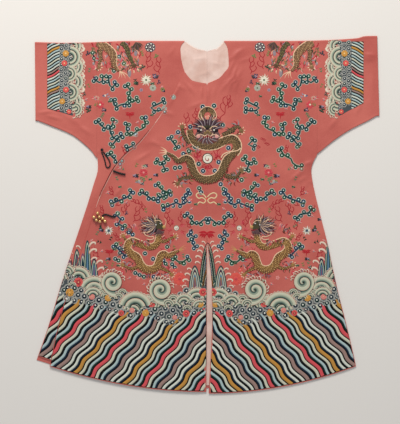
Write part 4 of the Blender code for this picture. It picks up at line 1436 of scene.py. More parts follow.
for k in range(120):                     # olive and brown wisps all round the coils and limbs
    turn = draw.uniform(0.0, 2.0 * math.pi)
    spot = draw.choice(((-86, 366), (-96, 340), (96, 338), (112, 322), (118, 500), (96, 512),
                        (-78, 514), (-100, 520), (-60, 488), (70, 500), (-50, 392), (-74, 402)))
    root = (spot[0] + 16.0 * math.cos(turn), spot[1] + 12.0 * math.sin(turn))
    work.spike(("moss", "olive", "beard", "mane_grey", "belly_line")[k % 5], root,
               away(root, -turn, 15.0), 6.0, 0.16, 0.35)
work.level = 1.7
work.ribbon("back_line", curve(((52, 432), (60, 420), (76, 412), (96, 409), (114, 405),
                                (124, 396))), 4.0, 0.4)
work.level = 0.0
pearl(work, (2.0, 435.0), 22.0)
for root, heading in (((-18, 430), 170.0), ((22, 428), 20.0), ((2, 456), 270.0)):
    flames(work, root, heading, 4, 34.0, 70.0, 4.6)
work.lay("embroidery_dragon_chest", {**DRAGON_TONES, **AGED_TONES})

SKIRT_BODY = (
    (180, 716), (183, 735), (190, 752), (207, 762), (231, 758), (256, 749), (278, 741),
    (293, 749), (298, 768), (284, 787), (262, 800), (252, 821), (237, 840), (213, 847),
    (191, 838), (181, 816), (174, 795), (161, 787), (148, 795), (132, 788), (107, 775),
)
SKIRT_TAPER = ((0.0, 0.1, 0.5, 0.75, 0.9, 1.0), (0.85, 1.0, 1.0, 0.9, 0.6, 0.25))
SNOUT = (188.0, 672.0)                   # the crown of the head


def snout(out, down):
    return SNOUT[0] + out, SNOUT[1] + down


work = Embroidery()
for tip in ((84, 756), (80, 764), (82, 773), (88, 782)):
    work.spike("gold_light", (108, 775), tip, 4.0, 0.08)
for route, width, heading in (
        (((190, 734), (164, 742), (140, 732), (122, 724)), 17.0, 170.0),
        (((284, 746), (302, 736), (312, 722)), 17.0, 80.0),
        (((250, 830), (276, 842), (300, 836), (314, 828)), 17.0, 20.0),
        (((180, 838), (158, 846), (142, 856), (134, 864)), 17.0, 235.0)):
    limb(work, route, width, heading, 15.0)
body(work, SKIRT_BODY[7:], 28.0, SKIRT_TAPER, back=1.0)
body(work, SKIRT_BODY[:9], 26.0, ((0.0, 0.5, 1.0), (0.8, 1.0, 1.0)), back=-1.0, fins=False)
work.level = 0.3
work.disc("mane_dark", snout(14.0, 14.0), 30.0, 0.4, 20, 0.8)
work.level = 0.7
for k in range(40):                      # mane and beard stream away from the pearl
    turn = math.radians(-75.0 + 185.0 * ((k * 7) % 40) / 39.0)
    reach = 46.0 + 14.0 * draw.random()
    tip = snout(12.0 + reach * math.cos(turn), 10.0 - reach * 0.8 * math.sin(turn))
    work.spike(("mane", "mane_grey", "mane_dark", "beard", "back_line")[k % 5],
               snout(4.0, 10.0), tip, 4.6, 0.16 - 0.28 * (k % 2), 0.5)
for k in range(9):
    turn = math.radians(230.0 + 80.0 * k / 8.0)
    tip = snout(-6.0 + 30.0 * math.cos(turn), 26.0 - 26.0 * math.sin(turn))
    work.spike(("beard", "mane")[k % 2], snout(-6.0, 24.0), tip, 5.0, 0.1, 0.7)
work.level = 0.6
for tip in (snout(44.0, -18.0), snout(48.0, 2.0)):
    work.spike("back_line", snout(10.0, -2.0), tip, 4.4, 0.1)
work.disc("moss", SNOUT, 19.0, 0.5, 18, 0.85)
work.disc("moss", snout(-10.0, 14.0), 15.0, 0.5, 16, 0.9)
work.ribbon("moss", (snout(-8.0, 12.0), snout(-24.0, 20.0)), 16.0,
            0.5)
work.ribbon("beard", curve((snout(-2.0, 26.0), snout(-14.0, 34.0), snout(-26.0, 34.0))), 9.0, 0.5)
work.level = 1.1
work.ribbon("mouth", curve((snout(-4.0, 24.0), snout(-16.0, 28.0), snout(-28.0, 28.0))), 4.4, 0.4)
work.disc("gold_light", snout(-26.0, 16.0), 6.0, 0.5, 12)
for eye in ((-13.0, 3.0), (4.0, 8.0)):
    work.disc("mane_dark", snout(*eye), 5.8, 0.3, 12)
    work.disc("eye_white", snout(*eye), 3.8, 0.5, 10)
    work.disc("eye_dark", snout(*eye), 1.8, 0.8, 8)
work.ribbon("back_line", curve((snout(-20.0, 2.0), snout(-8.0, -8.0),
                                snout(10.0, -6.0))), 2.4, 0.4)
work.ribbon("back_line", curve((snout(-28.0, 14.0), snout(-34.0, -4.0),
                                snout(-26.0, -16.0))), 2.6, 0.5,
            taper=((0.0, 1.0), (1.0, 0.4)))
work.ribbon("back_line", curve(((237, 706), (230, 718), (214, 724), (202, 724), (200, 731),
                                (212, 735), (226, 733))), 3.0, 0.6)
work.level = 0.0
pearl(work, (116.0, 692.0), 11.0)
for root, heading in (((124, 684), 60.0), ((106, 688), 150.0), ((104, 700), 220.0),
                      ((120, 704), 290.0), ((128, 696), 350.0)):
    flames(work, root, heading, 4, 30.0, 70.0, 4.4)
for k in range(14):                      # fins and flames stream under the belly
    turn = math.radians(195.0 + 11.0 * k)
    root = (244.0 - 3.0 * k, 848.0 + 0.6 * k)
    work.spike(("mane_grey", "belly_line", "flame_pink", "mane")[k % 4], root,
               away(root, turn, 34.0, 26.0), 5.0, 0.16)
for k in range(150):                     # mane, fins and flames drift round the coils
    around, down, wide, high = ((286, 690, 22, 16), (252, 742, 30, 10), (146, 744, 24, 26),
                                (150, 822, 28, 18), (300, 830, 26, 16), (190, 858, 44, 12),
                                (228, 700, 24, 14), (316, 764, 14, 24))[k % 8]
    root = (around + wide * draw.uniform(-1.0, 1.0), down + high * draw.uniform(-1.0, 1.0))
    turn = draw.uniform(0.3, 2.8)
    work.level = 1.0 if k % 8 == 1 else 0.0
    work.spike(("flame", "mane_grey", "beard", "flame_pink", "belly_line", "moss", "jowl")[k % 7],
               root, away(root, -turn, 15.0), 5.6, 0.16,
               0.35)
work.level = 0.0
for root, heading in (((296, 736), 70.0), ((306, 776), 330.0), ((168, 784), 100.0),
                      ((122, 778), 210.0), ((206, 846), 260.0)):
    flames(work, root, heading, 4, 26.0, 80.0, 4.4)
work.lay("embroidery_dragons_skirt", {**DRAGON_TONES, **GILT_TONES})

# The shoulder dragons run over the fold; the tail and the hind claws are what shows in front.
work = Embroidery()
for tip in ((322, 141), (293, 141), (274, 144), (300, 129), (308, 138)):
    work.spike("back_line", (316, 112), tip, 4.4, 0.12)
limb(work, ((385, 12), (387, 40), (388, 68), (394, 96)), 21.0, 250.0, 17.0)
limb(work, ((308, 6), (289, 30), (280, 59), (263, 90)), 24.0, 285.0, 32.0,
     ("moss", "olive", "gold_dark"))
body(work, ((398, 6), (378, 16), (358, 30), (343, 46), (338, 66), (338, 84), (330, 100),
            (318, 112)), 27.0, ((0.0, 0.5, 0.8, 1.0), (1.0, 1.0, 0.66, 0.3)), back=1.0)
for k in range(12):
    turn = math.radians(195.0 + 130.0 * k / 11.0)
    work.spike(("gold_dark", "beard", "mane", "moss")[k % 4], (256.0, 6.0),
               away((256.0, 12.0), turn, 30.0), 6.0, 0.1, 0.7)
work.disc("mane_grey", (256.0, 46.0), 7.0, 0.5, 12, 1.7)
work.ribbon("back_line", curve(((262.0, 30.0), (246.0, 44.0), (252.0, 66.0))), 2.6, 0.6)
work.disc("mane_grey", (280.0, 120.0), 7.5, 0.5, 12, 2.2)
work.ribbon("mane_dark", curve(((288.0, 104.0), (286.0, 120.0), (280.0, 132.0))), 3.2, 0.6)
for root, heading in (((346, 14), 60.0), ((404, 30), 80.0), ((268, 72), 250.0), ((360, 74), 270.0)):
    flames(work, root, heading, 5, 30.0, 90.0, 4.0)
ROUND_FLOWER = (203.0, 24.0)
work.disc("mane_grey", ROUND_FLOWER, 22.0, 0.3, 20, 0.92)
for k in range(8):                       # a round flower of ringed petals
    turn = 2.0 * math.pi * k / 7.0
    spot = ROUND_FLOWER if k == 7 else away(ROUND_FLOWER, turn, 14.0, -13.0)
    work.level = 0.4
    work.disc("mane_dark", spot, 6.0, 0.4, 10)
    work.level = 0.85
    work.disc("eye_white", spot, 3.0, 0.3, 8)
work.level = 0.0
draw = random.Random(8)
for k in range(130):                     # mane, beard and flames fill the ground between the limbs
    root = (draw.uniform(236.0, 420.0), draw.uniform(4.0, 104.0))
    turn = draw.uniform(0.6, 2.6)
    work.spike(("moss", "mane_grey", "beard", "flame_pink", "olive", "flame", "jowl")[k % 7], root,
               away(root, -turn, 17.0), 6.4, 0.16, 0.35)
for spot in ((331, 92), (318, 60), (412, 84), (322, 24)):
    work.disc("mane_grey", spot, 5.6, 0.5, 10, 1.5)
    work.disc("eye_white", (spot[0] + 2.0, spot[1] - 2.0), 2.2, 0.8, 6)
work.lay("embroidery_dragons_shoulder", {**DRAGON_TONES, **FADED_TONES})


# Flames, bats and flowers ---------------------------------------------------------------------
# Between the clouds are scrolls of red flame in outline, red bats for luck, chrysanthemums,
# daisies and small sprigs, and a pair of crossed ribbons under the chest dragon.
SPRAY_TONES = {"flame": "#9E1E2B", "bat_red": "#B3262F", "bat_pale": "#DE8C84",
               "petal_white": "#E3DDC8", "petal_shade": "#B9B59B", "petal_rose": "#C9474F",
               "petal_blush": "#DB948C", "petal_coral": "#DA5A50", "leaf_dark": "#20352C",
               "leaf": "#5C7A5A", "leaf_olive": "#7E7A4A", "stem": "#8B7A5A",
               "bud_purple": "#3B2340", "bud_lilac": "#9A8C9C", "daisy_blue": "#2A4468",
               "daisy_white": "#E1E3DA", "eye_green": "#4C6A4A", "ribbon_cream": "#DFC99C",
               "pearl_grey": "#A8AA9C"}
FLAME_BACK = ((0.0, 0.0), (0.16, 0.10), (0.38, 0.02), (0.62, 0.12), (0.84, 0.06), (1.0, 0.16))
FLAME_TONGUES = (                        # outlines of the tongues, along the flame and aside
    ((0.10, 0.06), (0.14, 0.28), (0.30, 0.42), (0.46, 0.34)),
    ((0.40, 0.03), (0.46, 0.22), (0.60, 0.34), (0.76, 0.28)),
    ((0.66, 0.12), (0.74, 0.28), (0.88, 0.36), (1.02, 0.30)),
)


def scroll(work, root, length, heading, mirror, width=4.4):
    """A drifting flame in outline: a wavy back with tongues that all bend one way."""
    for line in (FLAME_BACK,) + FLAME_TONGUES:
        work.ribbon("flame", curve(placed(line, root, length, heading, mirror)), width, LIFT,
                    taper=((0.0, 0.12, 0.8, 1.0), (0.5, 1.0, 0.9, 0.3)))


def bat(work, centre, span):
    """A bat with scalloped wings spread, seen from above."""
    a, d = centre
    for side in (-1.0, 1.0):
        tip = (a + side * span * 0.5, d - span * 0.12)
        work.spike("bat_red", (a, d), tip, span * 0.24, -0.16 * side, 0.5)
        for reach, fall in ((0.44, 0.12), (0.31, 0.20), (0.17, 0.24)):
            work.spike("bat_red", (a + side * span * reach * 0.55, d - span * 0.06),
                       (a + side * span * reach, d + span * fall), span * 0.19, 0.08, 0.5)
        work.spike("bat_pale", (a + side * span * 0.05, d - span * 0.02),
                   (a + side * span * 0.36, d - span * 0.04), span * 0.04, -0.15 * side, 0.7)
    work.spike("bat_red", (a, d - span * 0.12), (a, d + span * 0.52), span * 0.18, 0.0, 0.6)
    work.disc("bat_red", (a, d - span * 0.06), span * 0.10, 0.7, 10)


def chrysanthemum(work, centre, radius, thread="petal_white", rows=2):
    for row in range(rows):
        count, reach = 13 - 3 * row, radius * (1.0 - 0.36 * row)
        work.level = 0.35 * row
        for k in range(count):
            turn = 2.0 * math.pi * (k + 0.4 * row) / count
            near, far = 0.25 * reach, reach * (1.0 - 0.14 * (k % 3 == 0))
            work.spike("petal_shade" if k % 2 and row == 0 else thread,
                       away(centre, -turn, near), away(centre, -turn, far), radius * 0.26, 0.08)
    work.disc("eye_green", centre, radius * 0.16, 0.5, 8)
    work.level = 0.0


def leaves(work, root, heading, length, thread="leaf_dark", count=3):
    """A spray of pointed leaves on a stem."""
    turn = math.radians(heading)
    tip = away(root, turn, length)
    work.ribbon("stem", (root, ((root[0] + tip[0]) / 2 + 1.5, (root[1] + tip[1]) / 2), tip),
                1.6, 0.35)
    for k in range(count):
        share = (k + 0.6) / count
        a, d = root[0] + share * (tip[0] - root[0]), root[1] + share * (tip[1] - root[1])
        for side in (-1.0, 1.0):
            bent = turn + side * 0.9
            work.spike(thread, (a, d), away((a, d), bent, 0.42 * length), 5.0, 0.15 * side, 0.5)


GOLDEN_TURN = 2.4                        # successive shoots of a plant stand this far round
TUFT_STROKES = 9


def knot_cluster(work, centre, spread, dark, light, count=6):
    """Small round buds or berries, dark beneath and pale on top."""
    for k in range(count):
        turn = GOLDEN_TURN * k
        reach = spread * math.sqrt(k / count)
        spot = away(centre, -turn, reach)
        work.disc(dark, spot, 4.4, 0.4, 8)
        work.disc(light, (spot[0] - 0.8, spot[1] - 0.8), 2.0, 0.65, 6)


def tuft(work, spot, reach, threads):
    """A small dense sprig: leaves and petals that fan out all round from a dark heart."""
    for k in range(TUFT_STROKES):
        turn = GOLDEN_TURN * k
        far = reach * (0.75 + 0.25 * math.cos(5.0 * k))
        work.spike(threads[k % len(threads)],
                   away(spot, -turn, 0.25 * far), away(spot, -turn - 0.3, far), 6.6, 0.12, 0.5)
    work.disc(threads[0], spot, 3.6, 0.6, 8)


NIGHT = ("bud_purple", "leaf_dark", "bud_lilac")
HEDGE = ("leaf_dark", "leaf", "leaf_olive", "pearl_grey")
BLUSH = ("petal_blush", "petal_rose", "bud_lilac", "leaf_olive")
TUFTS = (                                # out, down, reach, threads
    (182, 133, 13, NIGHT), (254, 157, 12, ("leaf_dark", "leaf_dark", "leaf")),
    (194, 158, 10, HEDGE), (204, 205, 7, HEDGE), (160, 170, 7, BLUSH), (152, 186, 6, NIGHT),
    (408, 211, 12, BLUSH), (372, 203, 8, ("bud_lilac", "petal_white", "daisy_blue")),
    (429, 244, 13, NIGHT), (371, 256, 9, NIGHT), (352, 224, 8, HEDGE), (440, 216, 9, BLUSH),
    (448, 170, 10, HEDGE), (452, 130, 9, BLUSH), (259, 499, 15, NIGHT),
    (222, 462, 12, ("pearl_grey", "bud_purple", "leaf")), (185, 496, 12, NIGHT),
    (252, 520, 13, ("bud_lilac", "pearl_grey", "leaf_olive")),
    (237, 528, 9, ("bud_purple", "pearl_grey")), (206, 512, 9, HEDGE), (366, 560, 10, BLUSH),
    (352, 600, 10, HEDGE), (300, 596, 9, BLUSH), (132, 560, 9, HEDGE), (60, 620, 9, BLUSH),
    (412, 660, 10, NIGHT), (386, 646, 8, BLUSH), (344, 770, 10, HEDGE), (366, 806, 11, NIGHT),
    (392, 838, 10, BLUSH), (330, 830, 9, HEDGE), (118, 726, 8, BLUSH), (70, 742, 8, HEDGE),
    (62, 700, 8, NIGHT), (150, 868, 10, BLUSH), (206, 886, 9, HEDGE), (290, 876, 9, BLUSH),
    (430, 738, 9, BLUSH), (318, 470, 9, BLUSH), (344, 392, 8, HEDGE), (250, 300, 8, BLUSH),
    (196, 274, 8, HEDGE), (332, 300, 8, BLUSH), (180, 566, 8, HEDGE), (64, 590, 12, BLUSH),
    (42, 604, 9, HEDGE), (340, 670, 9, BLUSH), (392, 700, 11, NIGHT), (300, 250, 7, BLUSH),
    (276, 350, 7, HEDGE), (320, 540, 8, HEDGE), (236, 560, 8, NIGHT), (130, 610, 8, BLUSH),
    (100, 822, 9, HEDGE), (340, 872, 9, HEDGE), (236, 898, 8, BLUSH), (392, 776, 8, BLUSH),
)
work = Embroidery()
for out, down, reach, threads in TUFTS:
    tuft(work, (out, down), reach, threads)
for root, length, heading, mirror in (
        ((216, 104), 62, 82, 1.0), ((168, 122), 60, 100, -1.0), ((276, 670), 60, 96, 1.0),
        ((312, 640), 46, 130, -1.0), ((238, 628), 34, 60, 1.0), ((140, 690), 52, 60, 1.0),
        ((98, 672), 40, 110, -1.0), ((252, 606), 36, 20, 1.0), ((60, 690), 30, 70, -1.0),
        ((340, 610), 40, 110, 1.0), ((322, 736), 34, 60, -1.0)):
    scroll(work, root, length, heading, mirror)
for centre, span in (((278, 271), 36), ((364, 779), 34)):
    bat(work, centre, span)
chrysanthemum(work, (218, 145), 24.0)
flower(work, (215, 147), 9.0, "pearl_grey", "eye_green", 6, 0.4)
leaves(work, (254, 168), 80.0, 24.0)
knot_cluster(work, (183, 131), 11.0, "bud_purple", "bud_lilac")
knot_cluster(work, (170, 152), 8.0, "bud_purple", "petal_blush", 4)
flower(work, (193, 174), 13.0, "pearl_grey", "eye_green", 8)
flower(work, (157, 180), 9.0, "leaf_olive", "bud_purple", 6)
flower(work, (236, 182), 7.0, "bud_lilac", "leaf_dark", 5)
flower(work, (388, 236), 15.0, "petal_rose", "petal_white", 6, 0.3)
chrysanthemum(work, (400, 212), 12.0, "petal_blush", 1)
leaves(work, (414, 240), 160.0, 26.0, "leaf_olive", 3)
leaves(work, (372, 262), 300.0, 22.0, "leaf")
knot_cluster(work, (432, 258), 9.0, "leaf_dark", "leaf", 6)
knot_cluster(work, (376, 254), 7.0, "bud_purple", "petal_blush", 5)
leaves(work, (352, 214), 60.0, 20.0, "bud_lilac", 2)
flower(work, (231, 487), 16.0, "petal_rose", "petal_blush", 7)
chrysanthemum(work, (231, 468), 12.0, "petal_blush", 1)
leaves(work, (246, 500), 230.0, 24.0, "leaf", 3)
leaves(work, (214, 496), 320.0, 22.0, "leaf_olive", 2)
chrysanthemum(work, (366, 702), 19.0, "daisy_white", 1)
flower(work, (366, 702), 8.0, "daisy_blue", "eye_green", 5, 0.2)
leaves(work, (352, 720), 300.0, 18.0, "leaf_dark", 2)
flower(work, (104, 880), 24.0, "petal_coral", "petal_rose", 9, 0.0, 0.30)
for k in range(9):
    turn = math.radians(20.0 + 40.0 * k)
    work.disc("petal_blush", away((104.0, 880.0), turn, 27.0, 25.0), 3.4, 0.5, 6)
flower(work, (120, 846), 10.0, "petal_coral", "petal_blush", 6)
flower(work, (316, 858), 9.0, "petal_rose", "petal_white", 6)
flower(work, (258, 876), 8.0, "petal_blush", "petal_rose", 5)
for root, heading, length, thread, count in (
        ((368, 830), 70, 22, "leaf", 2), ((356, 838), 110, 18, "leaf_olive", 2),
        ((388, 748), 20, 20, "leaf_dark", 2), ((336, 742), 200, 18, "leaf_olive", 2),
        ((346, 858), 60, 16, "bud_lilac", 2), ((226, 640), 80, 20, "leaf_olive", 2),
        ((312, 690), 30, 18, "leaf", 2), ((128, 752), 250, 18, "leaf_olive", 2),
        ((88, 806), 80, 18, "leaf", 2), ((402, 700), 300, 18, "leaf", 2),
        ((228, 60), 70, 22, "leaf_olive", 3), ((300, 96), 100, 20, "leaf_olive", 3),
        ((322, 66), 60, 18, "leaf", 2), ((240, 96), 290, 18, "leaf", 2),
        ((414, 60), 80, 20, "leaf_olive", 2), ((430, 120), 100, 18, "leaf", 2),
        ((424, 176), 60, 18, "leaf_olive", 2), ((300, 480), 40, 18, "leaf", 2),
        ((262, 470), 120, 18, "leaf_olive", 2), ((326, 520), 70, 18, "leaf", 2)):
    leaves(work, root, heading, length, thread, count)
for centre, spread, dark, light, count in (
        ((380, 838), 8.0, "leaf_dark", "petal_white", 5), ((232, 96), 9.0, "leaf_dark", "leaf", 5),
        ((410, 140), 9.0, "bud_purple", "bud_lilac", 5), ((182, 56), 8.0, "leaf_olive", "leaf", 5),
        ((446, 196), 8.0, "leaf_dark", "petal_blush", 4), ((434, 46), 9.0, "bud_purple", "leaf", 5),
        ((396, 690), 7.0, "leaf_dark", "leaf", 4),
        ((300, 636), 7.0, "bud_purple", "petal_blush", 4)):
    knot_cluster(work, centre, spread, dark, light, count)
for root, length, heading, mirror in (
        ((330, 700), 40, 80, 1.0), ((400, 800), 44, 70, -1.0), ((214, 690), 30, 60, 1.0),
        ((160, 640), 44, 100, 1.0), ((344, 572), 36, 84, -1.0), ((382, 640), 34, 84, -1.0),
        ((300, 420), 34, 70, 1.0), ((336, 60), 34, 80, -1.0)):
    scroll(work, root, length, heading, mirror)
work.sides = (-1,)
for root, length, heading, mirror in (((66, 330), 62, 72, 1.0), ((34, 292), 42, 110, -1.0)):
    scroll(work, root, length, heading, mirror)
work.sides = (1,)
for root, length, heading, mirror in (((58, 300), 92, 62, 1.0), ((84, 250), 48, 100, -1.0)):
    scroll(work, root, length, heading, mirror)
for spot in ((240, 382), (226, 366), (206, 392)):
    scroll(work, spot, 22, 150, 1.0, 3.4)
for root, length, heading, mirror in (
        ((-30, 452), 52, 96, -1.0), ((-34, 436), 34, 60, 1.0), ((36, 448), 62, 66, 1.0),
        ((34, 430), 40, 20, -1.0), ((-18, 470), 36, 350, 1.0), ((26, 470), 34, 190, -1.0)):
    scroll(work, root, length, heading, mirror)
bat(work, (-3, 716), 62)
for side in (-1.0, 1.0):                 # the crossed ribbons
    loop = [(side * a - 2.0, d) for a, d in ((0, 582), (12, 568), (28, 562), (38, 570), (30, 582),
                                            (16, 580), (4, 590), (12, 600), (26, 596), (36, 604))]
    work.ribbon("ribbon_cream", curve(loop, 5), 4.6, 0.5)
    work.spike("petal_coral", (side * 6.0 - 2.0, 590.0), (side * 14.0 - 2.0, 610.0), 3.4, 0.1)
work.disc("petal_coral", (-2.0, 584.0), 5.0, 0.8, 10)
work.lay("embroidery_sprays", SPRAY_TONES)


# Mountains ------------------------------------------------------------------------------------
# The rock of the world rises from the sea beside the vent and at each side seam: nested pointed
# ridges in blue, green and violet, with foam climbing their flanks.
# The spray tone here is a painted highlight along each finger of foam.
ROCK_TONES = {"rock_navy": "#152A42", "rock_teal": "#1E4A4C", "rock_green": "#3A6656",
              "rock_pale": "#B9BDA8", "rock_violet": "#74506A", "rock_ochre": "#A0763C",
              "rock_brown": "#5A3C30", "rock_blue": "#5A7F98", "spray": "#DED5C0",
              "shell_pink": "#D8A091"}
RIDGE = (                                # from a peak's top down: share of its height, and width
    (0.0, 0.0), (0.03, 0.16), (0.10, 0.34), (0.22, 0.52), (0.40, 0.70), (0.65, 0.88), (1.0, 1.0),
)
PEAKS = (                                # out, top, foot, half width, bands from the outside in
    (0, 744, 965, 37, ("rock_teal", "rock_pale", "rock_green", "rock_navy", "rock_pale",
                       "rock_blue", "rock_violet", "rock_pale", "rock_ochre", "rock_brown",
                       "shell_pink")),
    (0, 838, 965, 26, ("rock_ochre", "rock_brown", "rock_pale", "rock_violet", "rock_teal",
                       "rock_pale", "rock_navy")),
    (48, 829, 940, 24, ("rock_teal", "rock_pale", "rock_navy", "rock_pale", "rock_blue",
                        "rock_ochre", "rock_violet")),
    (26, 884, 955, 18, ("rock_teal", "rock_pale", "rock_green", "rock_navy", "rock_violet")),
    (484, 768, 900, 18, ("rock_teal", "rock_pale", "rock_navy", "rock_violet", "rock_green")),
    (420, 803, 905, 16, ("rock_navy", "rock_pale", "rock_teal", "rock_blue", "rock_violet")),
    (462, 784, 905, 15, ("rock_violet", "rock_pale", "rock_teal", "rock_navy")),
    (445, 736, 905, 16, ("rock_teal", "rock_pale", "rock_green", "rock_navy", "rock_blue")),
    (510, 800, 890, 16, ("rock_brown", "rock_violet", "rock_pale", "rock_ochre")),
)
FRONDS = (                               # foam up their flanks: out, down, heading, size, hand
    (9, 752, 66, 15, -1), (14, 768, 60, 18, -1), (19, 786, 54, 20, -1), (24, 806, 48, 21, -1),
    (28, 824, 40, 18, -1), (58, 850, 48, 18, -1), (64, 868, 40, 20, -1), (70, 888, 30, 21, -1),
    (76, 908, 20, 18, -1), (438, 762, 120, 26, 1), (438, 786, 128, 28, 1), (432, 812, 134, 22, 1),
    (412, 826, 128, 24, 1), (408, 850, 136, 24, 1), (404, 874, 146, 22, 1), (470, 770, 60, 18, -1),
    (500, 788, 50, 20, -1), (506, 812, 40, 18, -1),
)


def peak(work, out, top, foot, half, bands):
    """One peak: nested ridges, each a band of stitches narrower than the last."""
    step = half / (len(bands) + 0.4)
    for k, thread in enumerate(bands):
        reach, high = half - (k + 0.5) * step, top + 2.6 * step * k + step
        left = [(out + reach * w, high + (foot - high) * t) for t, w in RIDGE]
        right = [(out - reach * w, d) for (_, d), (_, w) in zip(left, RIDGE)]
        work.ribbon(thread, curve(right[:0:-1] + left, 3), step + 1.2, 0.5)


work = Embroidery()
for k, row in enumerate(PEAKS):
    work.level = 0.3 * (k % 3)
    peak(work, *row)
work.level = 1.1
for out, down, heading, size, hand in FRONDS:
    claw(work, (out, down), heading, size, hand)
work.level = 0.0
work.lay("embroidery_mountains", ROCK_TONES)


# Sleeve borders -------------------------------------------------------------------------------
# Each sleeve carries the same sea turned on its side: standing water next to the plain cuff,
# a narrow bank of foam, and waves that break towards the shoulder.
CUFF_PITCH, CUFF_BAND = 11.3, 6.4        # the narrow stripes follow each other, on a black sheet of painted shadow
CUFF_THREADS = ("milk", "ice_blue", "cream", "ice_blue", "milk", "mauve", "ice_blue")
CUFF_COLOURS = {5: "gold", 13: "coral", 18: "gold", 26: "coral"}
CUFF_ROWS, SLEEVE_AXIS = 28, -7.0
CUFF_SLOPE = 0.55                        # they rise this much for each step towards the shoulder
SLEEVE_SIDES = {-1: (583.0, 538.0, 249.0, 0.30), 1: (585.0, 541.0, 229.0, 0.54)}
SLEEVE_ARCHES = (                        # out, down, radius
    (492, 20, 34), (500, 60, 40), (486, 96, 36), (504, 122, 30), (488, 152, 38), (500, 190, 34),
    (492, 224, 36), (480, 252, 26),
)
SLEEVE_FLOWERS = ((515, 47, 12, "petal_gold"), (520, 83, 11, "petal_coral"),
                  (514, 181, 11, "petal_coral"), (528, 224, 11, "petal_gold"),
                  (503, 262, 9, "petal_coral"))
STRIPE_TONES.update(SEA_TONES)
for side, (outer, inner, foot, rise) in SLEEVE_SIDES.items():
    work = Embroidery((side,), SLEEVE_AXIS)
    # The black sheet under the cuff stripes is painted shadow between the padded bands.
    black = [[(out, min(max(d, 2.4), foot + rise * (outer - out) + 0.6), 0.12)
              for out in np.linspace(outer + 0.6, inner, 6)] for d in np.linspace(0.0, 300.0, 60)]
    work.lines("black", black)
    for row in range(CUFF_ROWS):
        start = CUFF_PITCH * row - 14.0
        thread = CUFF_COLOURS.get(row, CUFF_THREADS[row % len(CUFF_THREADS)])
        thick = CUFF_BAND * (1.3 if row in CUFF_COLOURS else 1.0)
        columns = []
        for part, lift in BAND_RISE:
            column = []
            for out in np.linspace(outer, inner, 12):
                down = start + part * thick - CUFF_SLOPE * (outer - out)
                down += 1.8 * math.sin(out / 8.5 + start / 30.0)
                limit = foot + rise * (outer - out)
                column.append((out, min(max(down, 3.2), limit), lift))
            columns.append(column)
        if any(columns[0][end][1] < columns[-1][end][1] - 0.5 for end in (0, -1)):
            work.lines(thread, columns)
    draw = random.Random(3)
    bank = [[(o, min(max(d, 3.2), foot + rise * (outer - o)), 0.55 if 0 < k < 4 else -SINK)
             for d in np.linspace(2.0, 290.0, 70)]
            for k, o in enumerate((inner + 3.0, inner + 1.0, 520.0, 500.0, 484.0))]
    work.lines("foam_ground", bank)
    work.level = 0.6
    for column, out in enumerate((531.0, 514.0, 498.0)):
        for row in range(15):
            d = 8.0 + 20.0 * row + 10.0 * (column % 2) + draw.uniform(-2.0, 2.0)
            if d < foot + rise * (outer - out) - 10.0:
                bubble(work, (out + draw.uniform(-1.5, 1.5), d), BUBBLE * 0.70,
                       draw.choice(("ring_navy", "ring_green", "ring_slate")))
    for k, (a, d, radius) in enumerate(SLEEVE_ARCHES):
        if d < foot + rise * (outer - a) + 4.0:
            work.level = 1.1 + 0.5 * (k % 2)
            arch(work, (a, d), radius, 95.0, 268.0, 0.3, spray=12.0)
    work.level = 0.6
    for k in range(10):
        d = 14.0 + 25.0 * k
        if d < foot + rise * (outer - 460.0) + 8.0:
            claw(work, (470.0 - 5.0 * (k % 2), d), 200.0 - 26.0 * (k % 2), 27.0 - 6.0 * (k % 2),
                 -1.0 if k % 2 else 1.0)
    work.level = 2.2
    for a, d, radius, petals in SLEEVE_FLOWERS:
        if d < foot + rise * (outer - a) + 6.0:
            flower(work, (a, d), radius, petals, "flower_eye", 7, a)
    work.lay("embroidery_cuff_" + ("left" if side > 0 else "right"), STRIPE_TONES)


# Edges ----------------------------------------------------------------------------------------
# A pale roll of lining finishes the overlap's free edge over the chest.  Beside it, on the inner
# front, a dark strip of silk is painted shadow under the curled edge.  A roll of the satin goes on
# to the hem.  The back of the neck has a pale roll too.
# The darkest tone is painted shadow under the overlap's curled edge.
EDGE_TONES = {"lining_roll": "#E3C2B2", "satin_roll": "#B9554E", "neck_roll": "#F0DACB",
              "curl_shadow": "#571C1E"}
work = Embroidery((1,), 0.0)
overlap = panels["front_overlap"]
line = [(float(overlap.side(d, 1)) + 1.7, d) for d in np.arange(250.0, 620.0, 6.0)]
work.ribbon("lining_roll", line, 4.2, 0.9, taper=((0.0, 0.3, 0.8, 1.0), (0.25, 1.0, 1.0, 0.3)))
line = [(float(overlap.side(d, 1)) + 1.3, d) for d in np.arange(614.0, 1196.0, 8.0)]
work.ribbon("satin_roll", line, 2.4, 0.7)
work.lay("edge_rolls", EDGE_TONES, cloth_tree(["front_overlap_silk"]), 0.6)
work = Embroidery((1,), 0.0)             # a dark strip of painted shadow lies on the inner front, beside the roll
line = [(float(overlap.side(d, 1)) - 1.6, d) for d in np.arange(330.0, 580.0, 6.0)]
work.ribbon("curl_shadow", line, 4.6, 0.3, taper=((0.0, 0.3, 0.6, 1.0), (0.3, 0.8, 1.0, 0.3)))
work.lay("edge_curl_shadow", EDGE_TONES, cloth_tree(["front_inner_silk"]), 0.6)
work = Embroidery((1,), 0.0)
for name, which, sign in (("back_lining_right", 2, -1.0), ("back_lining_left", 1, 1.0)):
    lining = Pattern(name)
    line = [(float(lining.side(d, which)) + sign * 1.0, d + 1.2) for d in np.arange(6.0, 38.0, 2.0)]
    work.ribbon("neck_roll", line, 2.8, 0.7)
work.lay("edge_neck_roll", EDGE_TONES, cloth_tree(["back_lining_left_cloth",
                                                   "back_lining_right_cloth"]), 0.6)


